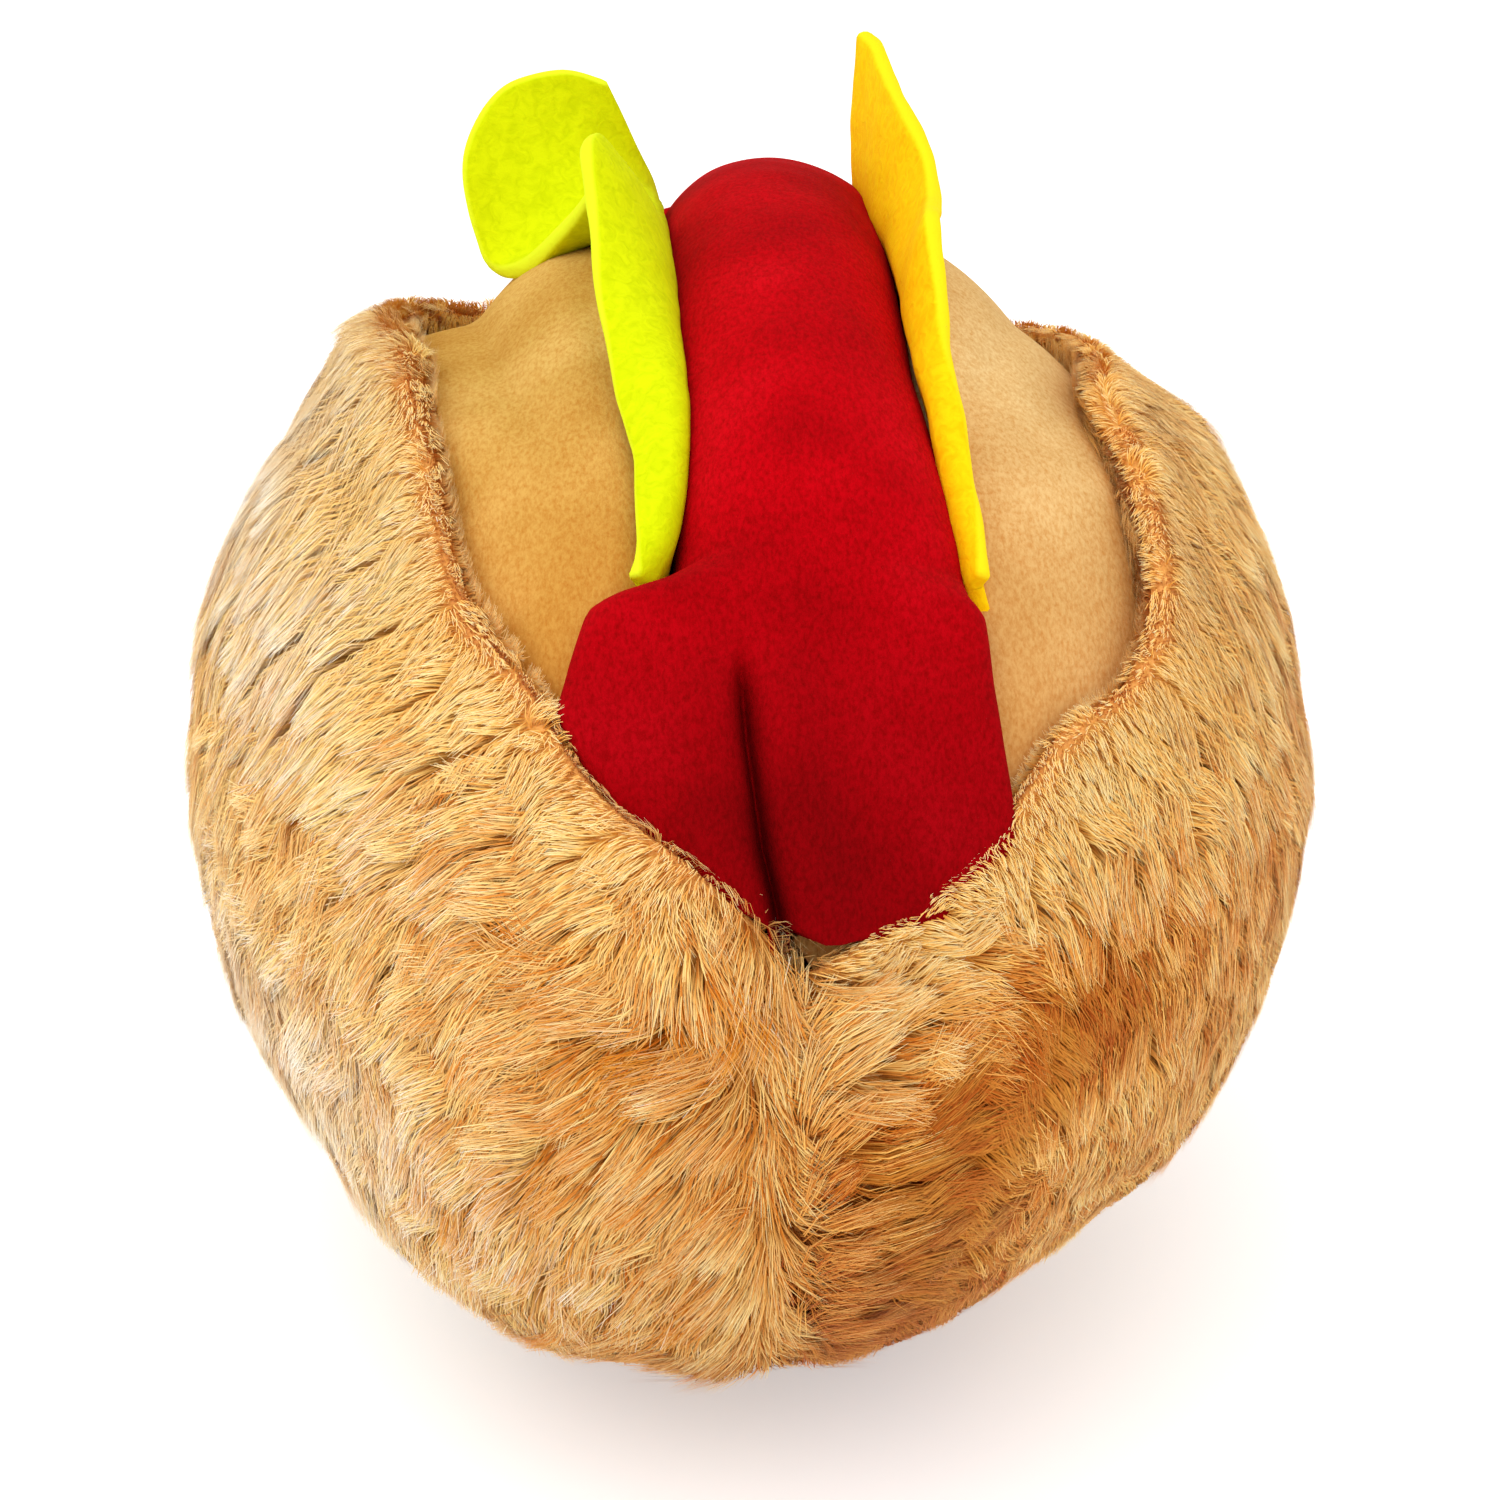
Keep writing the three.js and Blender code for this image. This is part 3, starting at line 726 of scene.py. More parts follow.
class HotDogBun(bpy.types.PropertyGroup):
    """Sizes of the bun's faux fur."""

    skin_depth: real(
        "Skin Depth", "How far the backing lies below the tips of the pile", 0.005, unit="LENGTH"
    )
    pile_length: real("Pile Length", "Length of the longest strands", 0.0125, unit="LENGTH")
    strand_width: real(
        "Strand Width", "Half width of a strand at its root", 0.000087, unit="LENGTH"
    )
    strands: real("Strands", "Strands to a square millimetre at the near end", 8.0)
    tuft: real("Tuft Size", "Width of a tuft", 0.0048, unit="LENGTH")


class HotDogStage(bpy.types.PropertyGroup):
    """Where the camera and the lamps stand."""

    azimuth: real(
        "Azimuth", "How far the camera is turned round the toy", math.radians(-2.5), subtype="ANGLE"
    )
    elevation: real(
        "Elevation", "How far the camera looks down", math.radians(25), subtype="ANGLE"
    )
    distance: real("Distance", "From the camera to the middle of the toy", 0.7, unit="LENGTH")
    lens: real("Lens", "Focal length in millimetres", 132.7)
    key: real("Key Light", "Power of the main lamp in watts", 10.0)


# Pieces


# How many pieces the pile of each half is made in, so that none is too heavy
PILE_BANDS = 5

# How far the stuffed bun swells past its plain oval (mm), by angle round it as seen from the
# near end and a little above, anticlockwise from the right
SWELL_TURNS = np.arange(0, 361, 10)
SWELLS = np.array(
    [3.9, 2.4, 2.2, 1.4, 1.2, -2.6, -3.4, 0.2, 0, 0, 0, 0, -3.6, 2.6, 0.2, 0.3, 0.5, 0.2, 0.9]
    + [0.2, 0, -0.6, -1.6, -0.6, 0, 0, -2.2, -1.6, -1.6, -2.4, -3.8, -3.6, -1.0, 0.2, 1.7, 3.2, 3.7]
)
# That view: the way to its eye, its right, and the outline's middle and size (mm)
VIEW_LINE = np.array([-0.0395, -0.9055, 0.4226])
VIEW_RIGHT = np.array([0.999, -0.0436, 0.0])
VIEW_MIDDLE, VIEW_RADIUS = (0, 0, 64.5), 71


def swollen(points):
    """Points moved to follow the bun's uneven outline."""
    above = np.cross(VIEW_LINE, VIEW_RIGHT)
    right = points @ VIEW_RIGHT
    up = (points - VIEW_MIDDLE) @ above
    turn = np.degrees(np.arctan2(up, right)) % 360
    out = smooth(0.55, 0.95, np.hypot(right, up) / VIEW_RADIUS)
    push = np.interp(turn, SWELL_TURNS, SWELLS) * out
    length = np.hypot(right, up) + 1e-6
    way = (right / length)[..., None] * VIEW_RIGHT + (up / length)[..., None] * above
    return points + push[..., None] * way


def fur_grid(side, skin_depth):
    """The outer surface of one fur half as a grid, with each point's distance from the rim, and
    the rings that close it below."""
    along = np.linspace(0, math.pi, 121)
    share = np.concatenate([np.linspace(0, 0.94, 80), np.linspace(0.948, 1, 16)])
    around = rim_angles(along, side, skin_depth)[:, None] * share[None, :]
    rough = bun_point(along[:, None], around, side, skin_depth)
    steps = np.linalg.norm(np.diff(rough[:, ::-1], axis=1), axis=-1)
    edge = np.concatenate([np.zeros((len(along), 1)), np.cumsum(steps, 1)], 1)[:, ::-1]
    reach = rim_reach(side, rough[:, -1, 1])
    # 1 where the rim borders the mouth, and 0 where it meets the other half
    is_open = (smooth(0.5, 9, reach) * (np.abs(rough[:, -1, 1]) < 93))[:, None] + 0 * edge
    # The backing sinks at the centre seam. It rises at the rim, which then rolls in, at the bump
    # beside the tip, and under the belly
    beside = np.abs(rough[..., 0])
    depth = skin_depth - 0.9 * ripple(rough, 52, 5)
    depth = depth + 1.3 * (1 - smooth(0, 6, beside)) * (1 - is_open * smooth(60, 90, rough[..., 2]))
    depth = depth - 2.2 * is_open * np.exp(-((edge / 7) ** 2))
    if side < 0:
        depth = depth - 2.2 * tip_bump(rough)
    depth = depth - 2.6 * smooth(10.0, 5.0, rough[..., 2])
    roll = np.clip(1 - edge / 2.0, 0, 1)
    depth = depth + is_open * 1.6 * (1 - np.sqrt(1 - roll * roll))
    points = bun_point(along[:, None], around, side, depth)
    points[..., 0] = side * np.maximum(side * points[..., 0], GAP / 2)
    # A wall goes down from the rim to the back of the cover
    rim = points[:, -1]
    wall = []
    for step in (0.25, 0.5, 0.75, 1.0):
        down = mix(depth[:, -1], COVER_DEPTH - 0.2, step)
        radial = bun_point(along, around[:, -1], side, down)
        upright = xyz(rim[:, 0], rim[:, 1], bun_top(rim[:, 0], rim[:, 1], down))
        wall.append(mix(radial, upright, is_open[:, -1:]))
    inner_around = rim_angles(along, side, BACK_DEPTH)[:, None] * share[None, :-1]
    inner = bun_point(along[:, None], inner_around, side, BACK_DEPTH)
    points = swollen(points)
    rings = np.concatenate([points, swollen(np.stack(wall, 1)), swollen(inner)[:, ::-1]], 1)
    rings[..., 0] = side * np.maximum(side * rings[..., 0], GAP / 2)
    # The pile goes on over the rim and down its wall
    hair = np.concatenate([points, swollen(np.stack(wall[:3], 1))], 1)
    edge = np.concatenate([edge, np.tile([-2.0, -4.0, -6.0], (len(edge), 1))], 1)
    is_open = np.concatenate([is_open, is_open[:, -3:]], 1)
    return hair, rings, edge, is_open


def comb_field(points, side, edge, is_open):
    """The way the pile lies at points in millimetres."""
    x, y, z = points[..., 0], points[..., 1], points[..., 2]
    near, low = smooth(10, -60, y), smooth(100, 25, z)
    if side < 0:
        way = xyz(-1 + 0.35 * low * near, -0.1, -0.3 - 1.3 * low)
        across = np.array([0.7, 0, -0.4])
    else:
        outward, down = np.array([1, -0.3, 0.35]), np.array([0.35, 0, -1])
        way = mix(down, outward, (smooth(34, 8, x) * near * smooth(20, 50, z))[..., None])
        across = np.array([-0.5, 0, 0.3])
    # Beside the centre seam it lies across it, and at the rim it leans over the mouth
    way = mix(way, across, (smooth(5, 1, np.abs(x)) * 0.9)[..., None])
    over = np.array([-side, -0.3, 0.3])
    lean = 0.5 * smooth(3.0, 0.5, edge) * smooth(-87, -72, y)
    way = mix(way, over, (lean * is_open)[..., None])
    if side < 0:
        way = mix(way, np.array([0.45, -0.2, -1.0]), tip_bump(points)[..., None])
        way = way * (1 + 1.2 * smooth(78, 100, z) * smooth(-24, -48, x))[..., None]
    # On the rim's wall, whose distance from the rim is below 0, it stands up
    return np.where(edge[..., None] < -1, np.array([side * 0.3, -0.2, 1.0]), way)


def tip_bump(points):
    """How near points are to the soft bump that the left half has beside the mouth's tip."""
    return np.exp(-((np.linalg.norm(points - (-7, -87, 87), axis=-1) / 9) ** 2))


def fur_fields(points, side, edge, is_open):
    """What the pile is like at points: its length, how dense it stands, its shade and its tint.
    Length and tint go from 0 to 1, and density and shade may go past 1."""
    x, y, z = points[..., 0], points[..., 1], points[..., 2]
    near = smooth(30, -50, y)
    low = smooth(95, 30, z)
    rim = smooth(0, 15, edge) * is_open + (1 - is_open)
    long = np.where(side < 0, 0.86 + 0.14 * low, 0.62 + 0.1 * smooth(40, 5, x) * near)
    share = long * mix(0.26, 1.0, rim) * mix(0.45, 1.0, smooth(6, 20, z))
    density = mix(0.5, 1.0, smooth(80, 0, y)) * mix(0.45, 1.0, smooth(6, 22, z))
    density = density * mix(1.35, 1.0, smooth(0, 9, edge) * is_open + (1 - is_open))
    # The wall's own pile is thinner and shorter near the mouth's tip
    tip = smooth(-62, -80, y)
    density = density * np.where(edge < -1, is_open * mix(1, 0.7, tip), 1)
    share = np.where(edge < -1, mix(0.34, 0.16, tip), share)
    # Painted shade makes the pile darker low at the near end. Painted light makes it paler on the left flank
    # and on its high parts. On the right an orange patch is partly dye and partly painted shade, and the
    # left has a darker, more golden band.
    deep = smooth(52, 22, z) * near * smooth(42, 18, np.abs(x))
    if side < 0:
        lit_flank = smooth(-18, -58, x)
        band = np.exp(-(((z - 84) / 16) ** 2))
        high = smooth(92, 118, z) * smooth(-56, -40, x)
        shade = 0.56 + 0.34 * lit_flank - 0.25 * deep - 0.1 * band + 0.3 * high
        shade = shade + 0.35 * smooth(92, 112, z) * lit_flank
        shade = shade + 0.08 * ripple(points, 30, 11)
        tint = 0.58 + 0.36 * lit_flank * (1 - band) - 0.2 * high + 0.06 * ripple(points, 25, 12)
    else:
        middle = mix(15, 33, smooth(58, 74, z))
        orange_and_shade = near * smooth(86, 77, z) * np.exp(-(((x - middle) / 13) ** 2))
        high = smooth(84, 104, z) * smooth(20, 36, x)
        shade = 0.6 - 0.08 * orange_and_shade - 0.15 * deep + 0.55 * high + 0.14 * ripple(points, 15, 13)
        tint = 0.5 - 0.5 * orange_and_shade + 0.06 * ripple(points, 25, 14)
    # Paler near the rim, partly painted light that lifts the shade between its dense strands.
    shade = shade + 0.5 * (1 - rim)
    return {
        "pile_share": share,
        "pile_density": density,
        "pile_shade": np.clip(shade, 0, 1.6),
        "pile_tint": np.clip(tint, 0, 1),
    }


# Rows of each felt leaf from its near end: where it leaves the groove (x, y, z), its free edge
# (x, y, z) and how far it bows between them (x, z)
LIME_ROWS = np.array(
    [
        [-14, -58, 117.5, -15.2, -58.6, 119.6, 0, 0],
        [-10.8, -52.5, 122, -13.8, -53, 122.8, 0.6, 1.5],
        [-9.3, -43, 127.4, -13.6, -43.5, 126.6, 0.8, 2.4],
        [-9, -34, 130.8, -15.1, -34.5, 129.6, 0.8, 2.8],
        [-9.3, -22, 133, -17, -23, 135.6, 1, 2.4],
        [-9.4, -13, 133.8, -17.9, -14, 141.2, 1.2, 1.8],
        [-9.5, -6, 134, -18.9, -7, 146.6, 1.4, 1.5],
        [-9.5, 0, 134, -19, -2, 151, 1.6, 1],
        [-9.6, 6.5, 133.8, -17.8, 4.5, 149.5, 1.6, 1],
        [-9.7, 13, 133.4, -17.4, 12.5, 142.5, 1.4, 1],
        [-9.8, 19, 132.9, -19.8, 20, 135.5, 1, 2],
        [-9.9, 25, 132.2, -25, 28, 126.5, 1, 2.6],
        [-10, 31, 131.2, -30.2, 35, 122.6, 1, 2.4],
        [-10, 36, 130.2, -32.6, 39.5, 126.6, 1, 1],
        [-10, 40.5, 129, -33.4, 42.5, 135.2, 0.5, 0],
        [-10, 44.5, 127.8, -29.2, 45, 142.6, 0, 0],
        [-10, 47.5, 126.8, -21.8, 47, 144.6, 0, 0],
        [-10, 50, 126, -15.8, 48, 142.6, 0, 0],
    ]
)
YELLOW_ROWS = np.array(
    [
        [23.8, -56.5, 116.2, 24.8, -57, 118, 0, 0],
        [22.8, -52, 119.2, 24.5, -53, 120.8, 0, 0.5],
        [21.7, -43, 124.6, 23.8, -43.5, 125.6, 0, 1],
        [20.7, -33, 129.6, 22.9, -33, 131, 0, 0.8],
        [19.8, -24, 131.8, 22.4, -24, 136, 0, 0.5],
        [19.5, -16, 132.8, 22.2, -16, 141.4, 0, 0],
        [19.4, -11, 133.2, 21.9, -10.5, 144.8, 0, 0],
        [19.3, -4, 133.6, 22.4, -3, 142.8, 0, 0],
        [19.3, 4, 133.6, 23, 5, 141.7, 0, 0],
        [19, 13, 133, 22.6, 14, 144.2, 0, 0],
        [18.4, 21, 132, 21.6, 22, 146, 0, 0],
        [17.8, 30, 130.4, 19.9, 31, 147, 0, 0],
        [17.4, 40, 128, 18.7, 42, 148.6, 0, 0],
        [17.2, 48, 125.6, 17.2, 48.6, 148.6, -0.4, 0],
    ]
)


def follow(rows, share):
    """A smooth curve through rows of values, at shares of its length."""
    ends = np.vstack([2 * rows[0] - rows[1], rows, 2 * rows[-1] - rows[-2]])
    place = np.clip(share, 0, 1) * (len(rows) - 1)
    first = np.minimum(place.astype(int), len(rows) - 2)
    t = (place - first)[:, None]
    a, b, c, d = (ends[first + i] for i in range(4))
    return 0.5 * (
        2 * b + (c - a) * t + (2 * a - 5 * b + 4 * c - d) * t**2 + (3 * b - a - 3 * c + d) * t**3
    )


def leaf_sheet(side, rows):
    """The middle surface of a felt leaf: up from its sewn root, then out to its free edge."""
    found = follow(rows, np.linspace(0, 1, 170))
    leave, edge, bow = found[:, 0:3], found[:, 3:6], found[:, 6:8]
    bend = (leave + edge) / 2
    bend[:, 0] += bow[:, 0] - side * 0.12 * np.abs(edge[:, 0] - leave[:, 0])
    bend[:, 2] += bow[:, 1]
    deep = leave + np.array([side * 2.6, 0, -10.0])
    sheet = [mix(deep, leave, share) for share in np.linspace(0, 1, 8)[:-1]]
    for share in np.linspace(0, 1, 28):
        sheet.append((1 - share) ** 2 * leave + 2 * share * (1 - share) * bend + share**2 * edge)
    sheet = np.stack(sheet, 1)
    free = np.concatenate([np.zeros(7), np.linspace(0, 1, 28)])
    sheet[..., 0] += 0.5 * ripple(sheet, 21, 31) * free
    sheet[..., 2] += 0.3 * ripple(sheet, 12, 33) * free
    return sheet


def make_leaf(name, side, rows, material):
    """A felt leaf: its sheet made thick, in place of its packed leaf and its sewn root."""
    sheet = leaf_sheet(side, rows)
    ahead, above = np.gradient(sheet, axis=0), np.gradient(sheet, axis=1)
    normal = np.cross(ahead, above)
    normal /= np.linalg.norm(normal, axis=-1, keepdims=True) + 1e-9
    half = FELT_HALF * (1 + 0.1 * ripple(sheet, 6, 32))
    half[[0, -1]] *= 0.7
    half = half[..., None]
    tip = above[:, -1] / np.linalg.norm(above[:, -1], axis=-1, keepdims=True)
    round_edge = [
        sheet[:, -1:]
        + (normal[:, -1:] * math.cos(a) + tip[:, None] * math.sin(a) * 0.7) * half[:, -1:]
        for a in np.radians([40, 75, 105, 140])
    ]
    back = (sheet - normal * half)[:, ::-1]
    rings = np.concatenate([sheet + normal * half, *round_edge, back], 1)
    # The rounded cut edge gets the felt's painted highlight.
    lit_edge = np.zeros(rings.shape[:2])
    middle = sheet.shape[1]
    lit_edge[:, middle : middle + 4] = 1.0
    piece = loft(name + "_felt", rings, material, ends="pairs", lit_edge=lit_edge.ravel())
    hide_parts(name + "_leaf", name + "_seam_strip")
    fold = (MOUTH_SHIFT + side * ROOT_OFFSET) * MM
    start = (fold, 0, (FOLD_HEIGHT - FOLD_HALF) * MM)
    end = (fold, 0, (FOLD_HEIGHT + FOLD_HALF) * MM)
    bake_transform(piece, "toy", name + "_flap", start=start, end=end)


def bands_of(points, density):
    """Rows of a grid in bands that hold about as many strands each."""
    across = np.linalg.norm(np.diff(points, axis=1), axis=-1)
    ahead = np.linalg.norm(np.diff(points, axis=0), axis=-1)
    patch = (across[:-1] + across[1:]) / 2 * (ahead[:, :-1] + ahead[:, 1:]) / 2
    wanted = (patch * density[:-1, :-1]).sum(1)
    shares = np.arange(1, PILE_BANDS) * wanted.sum() / PILE_BANDS
    ends = [0, *np.searchsorted(np.cumsum(wanted), shares), len(points) - 1]
    return [slice(first, last + 1) for first, last in zip(ends, ends[1:])]


def pile_source(points, side, fields):
    """A patch of skin that carries the fields of its pile."""
    mesh = bpy.data.meshes.new("pile_source")
    faces = grid_faces(*points.shape[:2])
    mesh.from_pydata((points.reshape(-1, 3) * MM).tolist(), [], faces)
    if side > 0:
        mesh.flip_normals()
    for name, values in fields.items():
        kind, key = ("FLOAT_VECTOR", "vector") if values.ndim == 3 else ("FLOAT", "value")
        attribute = mesh.attributes.new(name, kind, "POINT")
        attribute.data.foreach_set(key, np.ascontiguousarray(values, float).ravel())
    return new_object("pile_source", mesh)


class HOTDOG_OT_bun(bpy.types.Operator):
    """Builds the two halves of the bun's cover: the backing and its pile"""

    bl_idname = "hot_dog.bun"
    bl_label = "Faux-Fur Bun"

    def execute(self, context):
        bun = context.scene.hot_dog_bun
        backing = plain_material("fur_backing", "#eeaa58", "#d8923c", 0.9, grain=0.8)
        pile = pile_material()
        tree = pile_tree()
        fewer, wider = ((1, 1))
        for side, word in ((-1, "left"), (1, "right")):
            outer, rings, edge, is_open = fur_grid(side, bun.skin_depth / MM)
            skin = loft(f"fur_panel_{word}_skin", rings, backing, ends="none")
            settle(skin, f"fur_panel_{word}")
            fields = fur_fields(outer, side, edge, is_open)
            fields["comb"] = comb_field(outer, side, edge, is_open)
            for band, rows in enumerate(bands_of(outer, fields["pile_density"])):
                here = {name: values[rows] for name, values in fields.items()}
                values = {
                    "Strands per Area": bun.strands * fewer / MM**2,
                    "Length": bun.pile_length,
                    "Width": bun.strand_width * wider,
                    "Tuft Size": bun.tuft,
                    "Seed": 10 * band + (3 if side < 0 else 7),
                    "Material": pile,
                }
                source = pile_source(outer[rows], side, here)
                piece = grow(f"fur_pile_{word}_{band + 1}", source, tree, values)
                settle(piece)
        return {"FINISHED"}


def face_rings(side):
    """Rings of a tan face: over the filling from the fur's rim to the groove, down beside the
    sausage, and round under it to the middle of the bun."""
    angles = np.radians(np.linspace(-SAUSAGE_END + 1.5, SAUSAGE_END - 1.5, 120))
    sink, thick, reaches, centre, flare = section(angles)
    reach = reaches[(side + 1) // 2]
    y = arch_point(0, angles, FACE_DEPTH)[:, 1]
    turn = np.degrees(np.abs(angles))
    groove = mix(GROOVE_EDGE, reach - 1.4, smooth(39, 43, turn))
    groove = np.convolve(np.pad(groove, 3, "edge"), np.ones(7) / 7, "valid")
    border = np.maximum(rim_reach(side, y) - side * centre + 1.6, groove + 0.6)
    wide = border - groove

    def drooped(line):
        """The trough sinks beside the middle as the sausage's flat ends do."""
        low = bun_top(line[:, 0], line[:, 1], FLARE_SINK)
        line[:, 2] += (low - bun_top(centre, line[:, 1], FLARE_SINK)) * flare
        return line

    def rolled(radius, out):
        """How far an edge of a radius turns down, at a distance from it."""
        return 1 - np.sqrt(1 - np.clip(1 - out / radius, 0, 1) ** 2)

    front, back = [], []
    for share in np.linspace(0, 1, 26):
        lip, roll = 1.4 * rolled(3, share * wide), 2.9 * rolled(4.5, (1 - share) * wide)
        crown = 1.3 * np.sin(math.pi * share) * smooth(0, 16, wide)
        depth = FACE_DEPTH + lip + mix(roll, -1.2 * share, flare) - crown
        depth = depth + 4.0 * smooth(58, 68, turn)
        for line, inner, below in ((front, groove, 0), (back, groove + 2.6, 2.5)):
            x = centre + side * mix(border, inner, share)
            line.append(xyz(x, y, bun_top(x, y, depth + below)))
    # The cloth's two sides clear the sausage by these
    sides = ((front, 0.5), (back, 3.1))
    middle = arch_point(0, angles, sink + thick / 2)
    tops = [front[-1], back[-1]]
    for share in (0.3, 0.65):
        for (line, wider), top in zip(sides, tops):
            x = centre + side * (mix(groove, reach, share) + wider)
            spot = xyz(x, mix(y, middle[:, 1], share), mix(top[:, 2], middle[:, 2], share))
            line.append(mix(spot, drooped(spot.copy()), share))
    for angle in np.radians(np.linspace(0, 90, 9)):
        for line, wider in sides:
            out = max(np.cos(angle), 0) ** (2 / ROUNDNESS) * (reach + wider)
            down = np.sin(angle) ** (2 / ROUNDNESS) * (thick / 2 + wider)
            spot = arch_point(0, angles, sink + thick / 2 + down)
            spot[:, 0] = centre + side * np.maximum(out, GAP / 2)
            line.append(drooped(spot))
    rings = np.stack(front + back[::-1], 1)
    rings[..., 2] += 0.25 * ripple(rings, 26, 21)
    return swollen(rings)


class HOTDOG_OT_faces(bpy.types.Operator):
    """Builds the two tan velour faces that line the mouth"""

    bl_idname = "hot_dog.faces"
    bl_label = "Velour Faces"

    def execute(self, context):
        # The left face's tones are darker and yellower and the right face's paler: painted shade and painted
        # light, as shaded and lit copies of one tan.
        for side, word, lit_and_shaded_tones in (
            (-1, "left", ("#c49442", "#d0a654", "#deb666")),
            (1, "right", ("#d2ac6c", "#e0bc7e", "#eccc90")),
        ):
            # Darker towards the near end: painted shade.
            ends = [(0.12, "#f7ddc2"), (0.42, "#ffffff")]
            tan = velour_material(f"tan_velour_lit_and_shaded_{word}", lit_and_shaded_tones, "#ead0b0", 0.06, ends)
            piece = loft(f"inner_face_{word}_velour", face_rings(side), tan)
            settle(piece, f"inner_face_{word}")
        return {"FINISHED"}


def sausage_rings(inset):
    """Rings of the sausage's cover, or of what fills it at an inset."""
    flat_end = np.linspace(SAUSAGE_END, 38, 80)
    turns = np.concatenate([-flat_end, np.linspace(-37, 37, 60), flat_end[::-1]])
    angles = np.radians(turns)
    sink, thick, reaches, centre, flare = section(angles)
    # Columns crowd together where the dart runs
    fine = np.linspace(0, 2 * math.pi, 2000)
    crowd = 1 + 5 * np.exp(-(((fine - 1.83) / 0.26) ** 2))
    crowd = np.cumsum(crowd) / crowd.sum()
    columns = np.arange(SAUSAGE_COLUMNS) / SAUSAGE_COLUMNS
    around = np.interp(columns, crowd - crowd[0], fine)
    cos, sin = np.cos(around), np.sin(around)
    square = np.where(sin > 0, mix(2.08, 9.0, flare[:, None]), mix(2.08, 3.0, flare[:, None]))
    upward = np.sign(sin) * np.clip(1 - np.abs(cos) ** square, 0, 1) ** (1 / square)
    left, right = (np.maximum(reach - inset, 0.2)[:, None] for reach in reaches)
    x = centre[:, None] + np.where(cos < 0, left, right) * cos
    tall = np.maximum(thick / 2 - inset, 0.2)
    depth = (sink + thick / 2)[:, None] - tall[:, None] * upward
    # The dart is stitched a little left of the middle, and the velour puffs up beside it
    folded = smooth(47, 54, np.abs(turns))[:, None]
    dart = np.interp(np.abs(turns), (48, 56, 61, 66, 70, 76), (-3.6, -2.9, -2.2, -1.5, -0.5, 0.8))
    off = x - dart[:, None]
    off = off * np.where(turns > 0, -1, 1)[:, None]
    top = smooth(0.3, 0.95, upward)
    puff = 2.1 * np.exp(-(((np.abs(off) - 5) / 4) ** 2))
    crease = 6.4 * np.exp(-(np.abs(off) ** 1.4)) - puff
    depth = depth + folded * top * crease
    points = arch_point(x, angles[:, None], depth)
    surface = bun_top(x, points[..., 1], FLARE_SINK)
    middle = bun_top(centre[:, None], points[..., 1], FLARE_SINK)
    droop = np.where(turns > 0, 1.0, mix(0.6, 0.95, smooth(50, 62, -turns))) * flare
    points[..., 2] += (surface - middle) * droop[:, None]
    points[..., 2] += 0.3 * ripple(points, 24, 41) + 0.12 * ripple(points, 9, 42)
    return points


class HOTDOG_OT_sausage(bpy.types.Operator):
    """Builds the red velour sausage with its flat, darted ends, and its filling"""

    bl_idname = "hot_dog.sausage"
    bl_label = "Velour Sausage"

    def execute(self, context):
        red = velour_material(
            "red_velour_shaded_end",
            ("#a80008", "#be000c", "#cc0414"),
            "#cc8080",
            0.0,
            # Darker towards the near end: painted shade.
            [(0, "#bcbcbc"), (0.04, "#c6c6c6"), (0.09, "#d8d8d8"), (0.15, "#eeeeee")]
            + [(0.2, "#fdfdfd")],
        )
        cover = loft("sausage_velour", sausage_rings(0), red)
        settle(cover, "sausage_cover")
        filling = loft("sausage_filling_fibre", sausage_rings(1.6), fibre_material())
        settle(filling, "sausage_filling")
        return {"FINISHED"}


class HOTDOG_OT_leaves(bpy.types.Operator):
    """Builds the lettuce and the cheese: felt sheets sewn in the grooves beside the sausage"""

    bl_idname = "hot_dog.leaves"
    bl_label = "Felt Leaves"

    def execute(self, context):
        # The last colour of each felt is the painted highlight on its cut edges.
        lime = felt_material("lime_needle_felt", "#d6e206", "#c6d402", "#e2f224")
        yellow = felt_material("yellow_needle_felt", "#ffd20a", "#fcc004", "#ffde18")
        make_leaf("lettuce", -1, LIME_ROWS, lime)
        make_leaf("cheese", 1, YELLOW_ROWS, yellow)
        return {"FINISHED"}


class HOTDOG_OT_filling(bpy.types.Operator):
    """Builds the fibre filling of the bun"""

    bl_idname = "hot_dog.filling"
    bl_label = "Fibre Filling"

    def execute(self, context):
        fibre = fibre_material()
        for node in ("bun_filling_left", "bun_filling_right"):
            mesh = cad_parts[node].data.copy()
            shape = bmesh.new()
            shape.from_mesh(mesh)
            bmesh.ops.remove_doubles(shape, verts=shape.verts, dist=1e-6)
            shape.to_mesh(mesh)
            shape.free()
            mesh.materials.clear()
            mesh.materials.append(fibre)
            mesh.name = node + "_fibre"
            piece = new_object(mesh.name, mesh)
            settle(piece, node)
        return {"FINISHED"}


# The squeaker's bulb: sides round it, the height of its base, and its height squeezed and free
BULB_SIDES, BULB_LOW = 72, 40.0
BULB_SQUEEZED, BULB_TALL = 23, 35


def bulb_rings():
    """The bellows bulb as profiles round its axis, up its outside and down its inside."""
    wall, waist, belly, neck, folds = 1.1, 18.5, 22.0, 7.2, 3
    low, high = BULB_LOW, 68.0
    heights = np.linspace(low, high, 61)
    bulge = np.abs(np.sin(math.pi * folds * (heights - low) / (high - low))) ** 0.8
    radii = waist + (belly - waist) * bulge
    outer = [(0.0, low), *zip(radii, heights), (neck, high), (neck, BULB_LOW + BULB_TALL)]
    inner = [(0.0, low + wall), *zip(radii - wall, np.clip(heights, low + wall, high - wall))]
    inner += [(neck - wall, high - wall), (neck - wall, BULB_LOW + BULB_TALL)]
    radius, height = np.array(outer + inner[::-1]).T
    turn = np.linspace(0, 2 * math.pi, BULB_SIDES, endpoint=False)[:, None]
    return xyz(radius * np.cos(turn), radius * np.sin(turn), height)


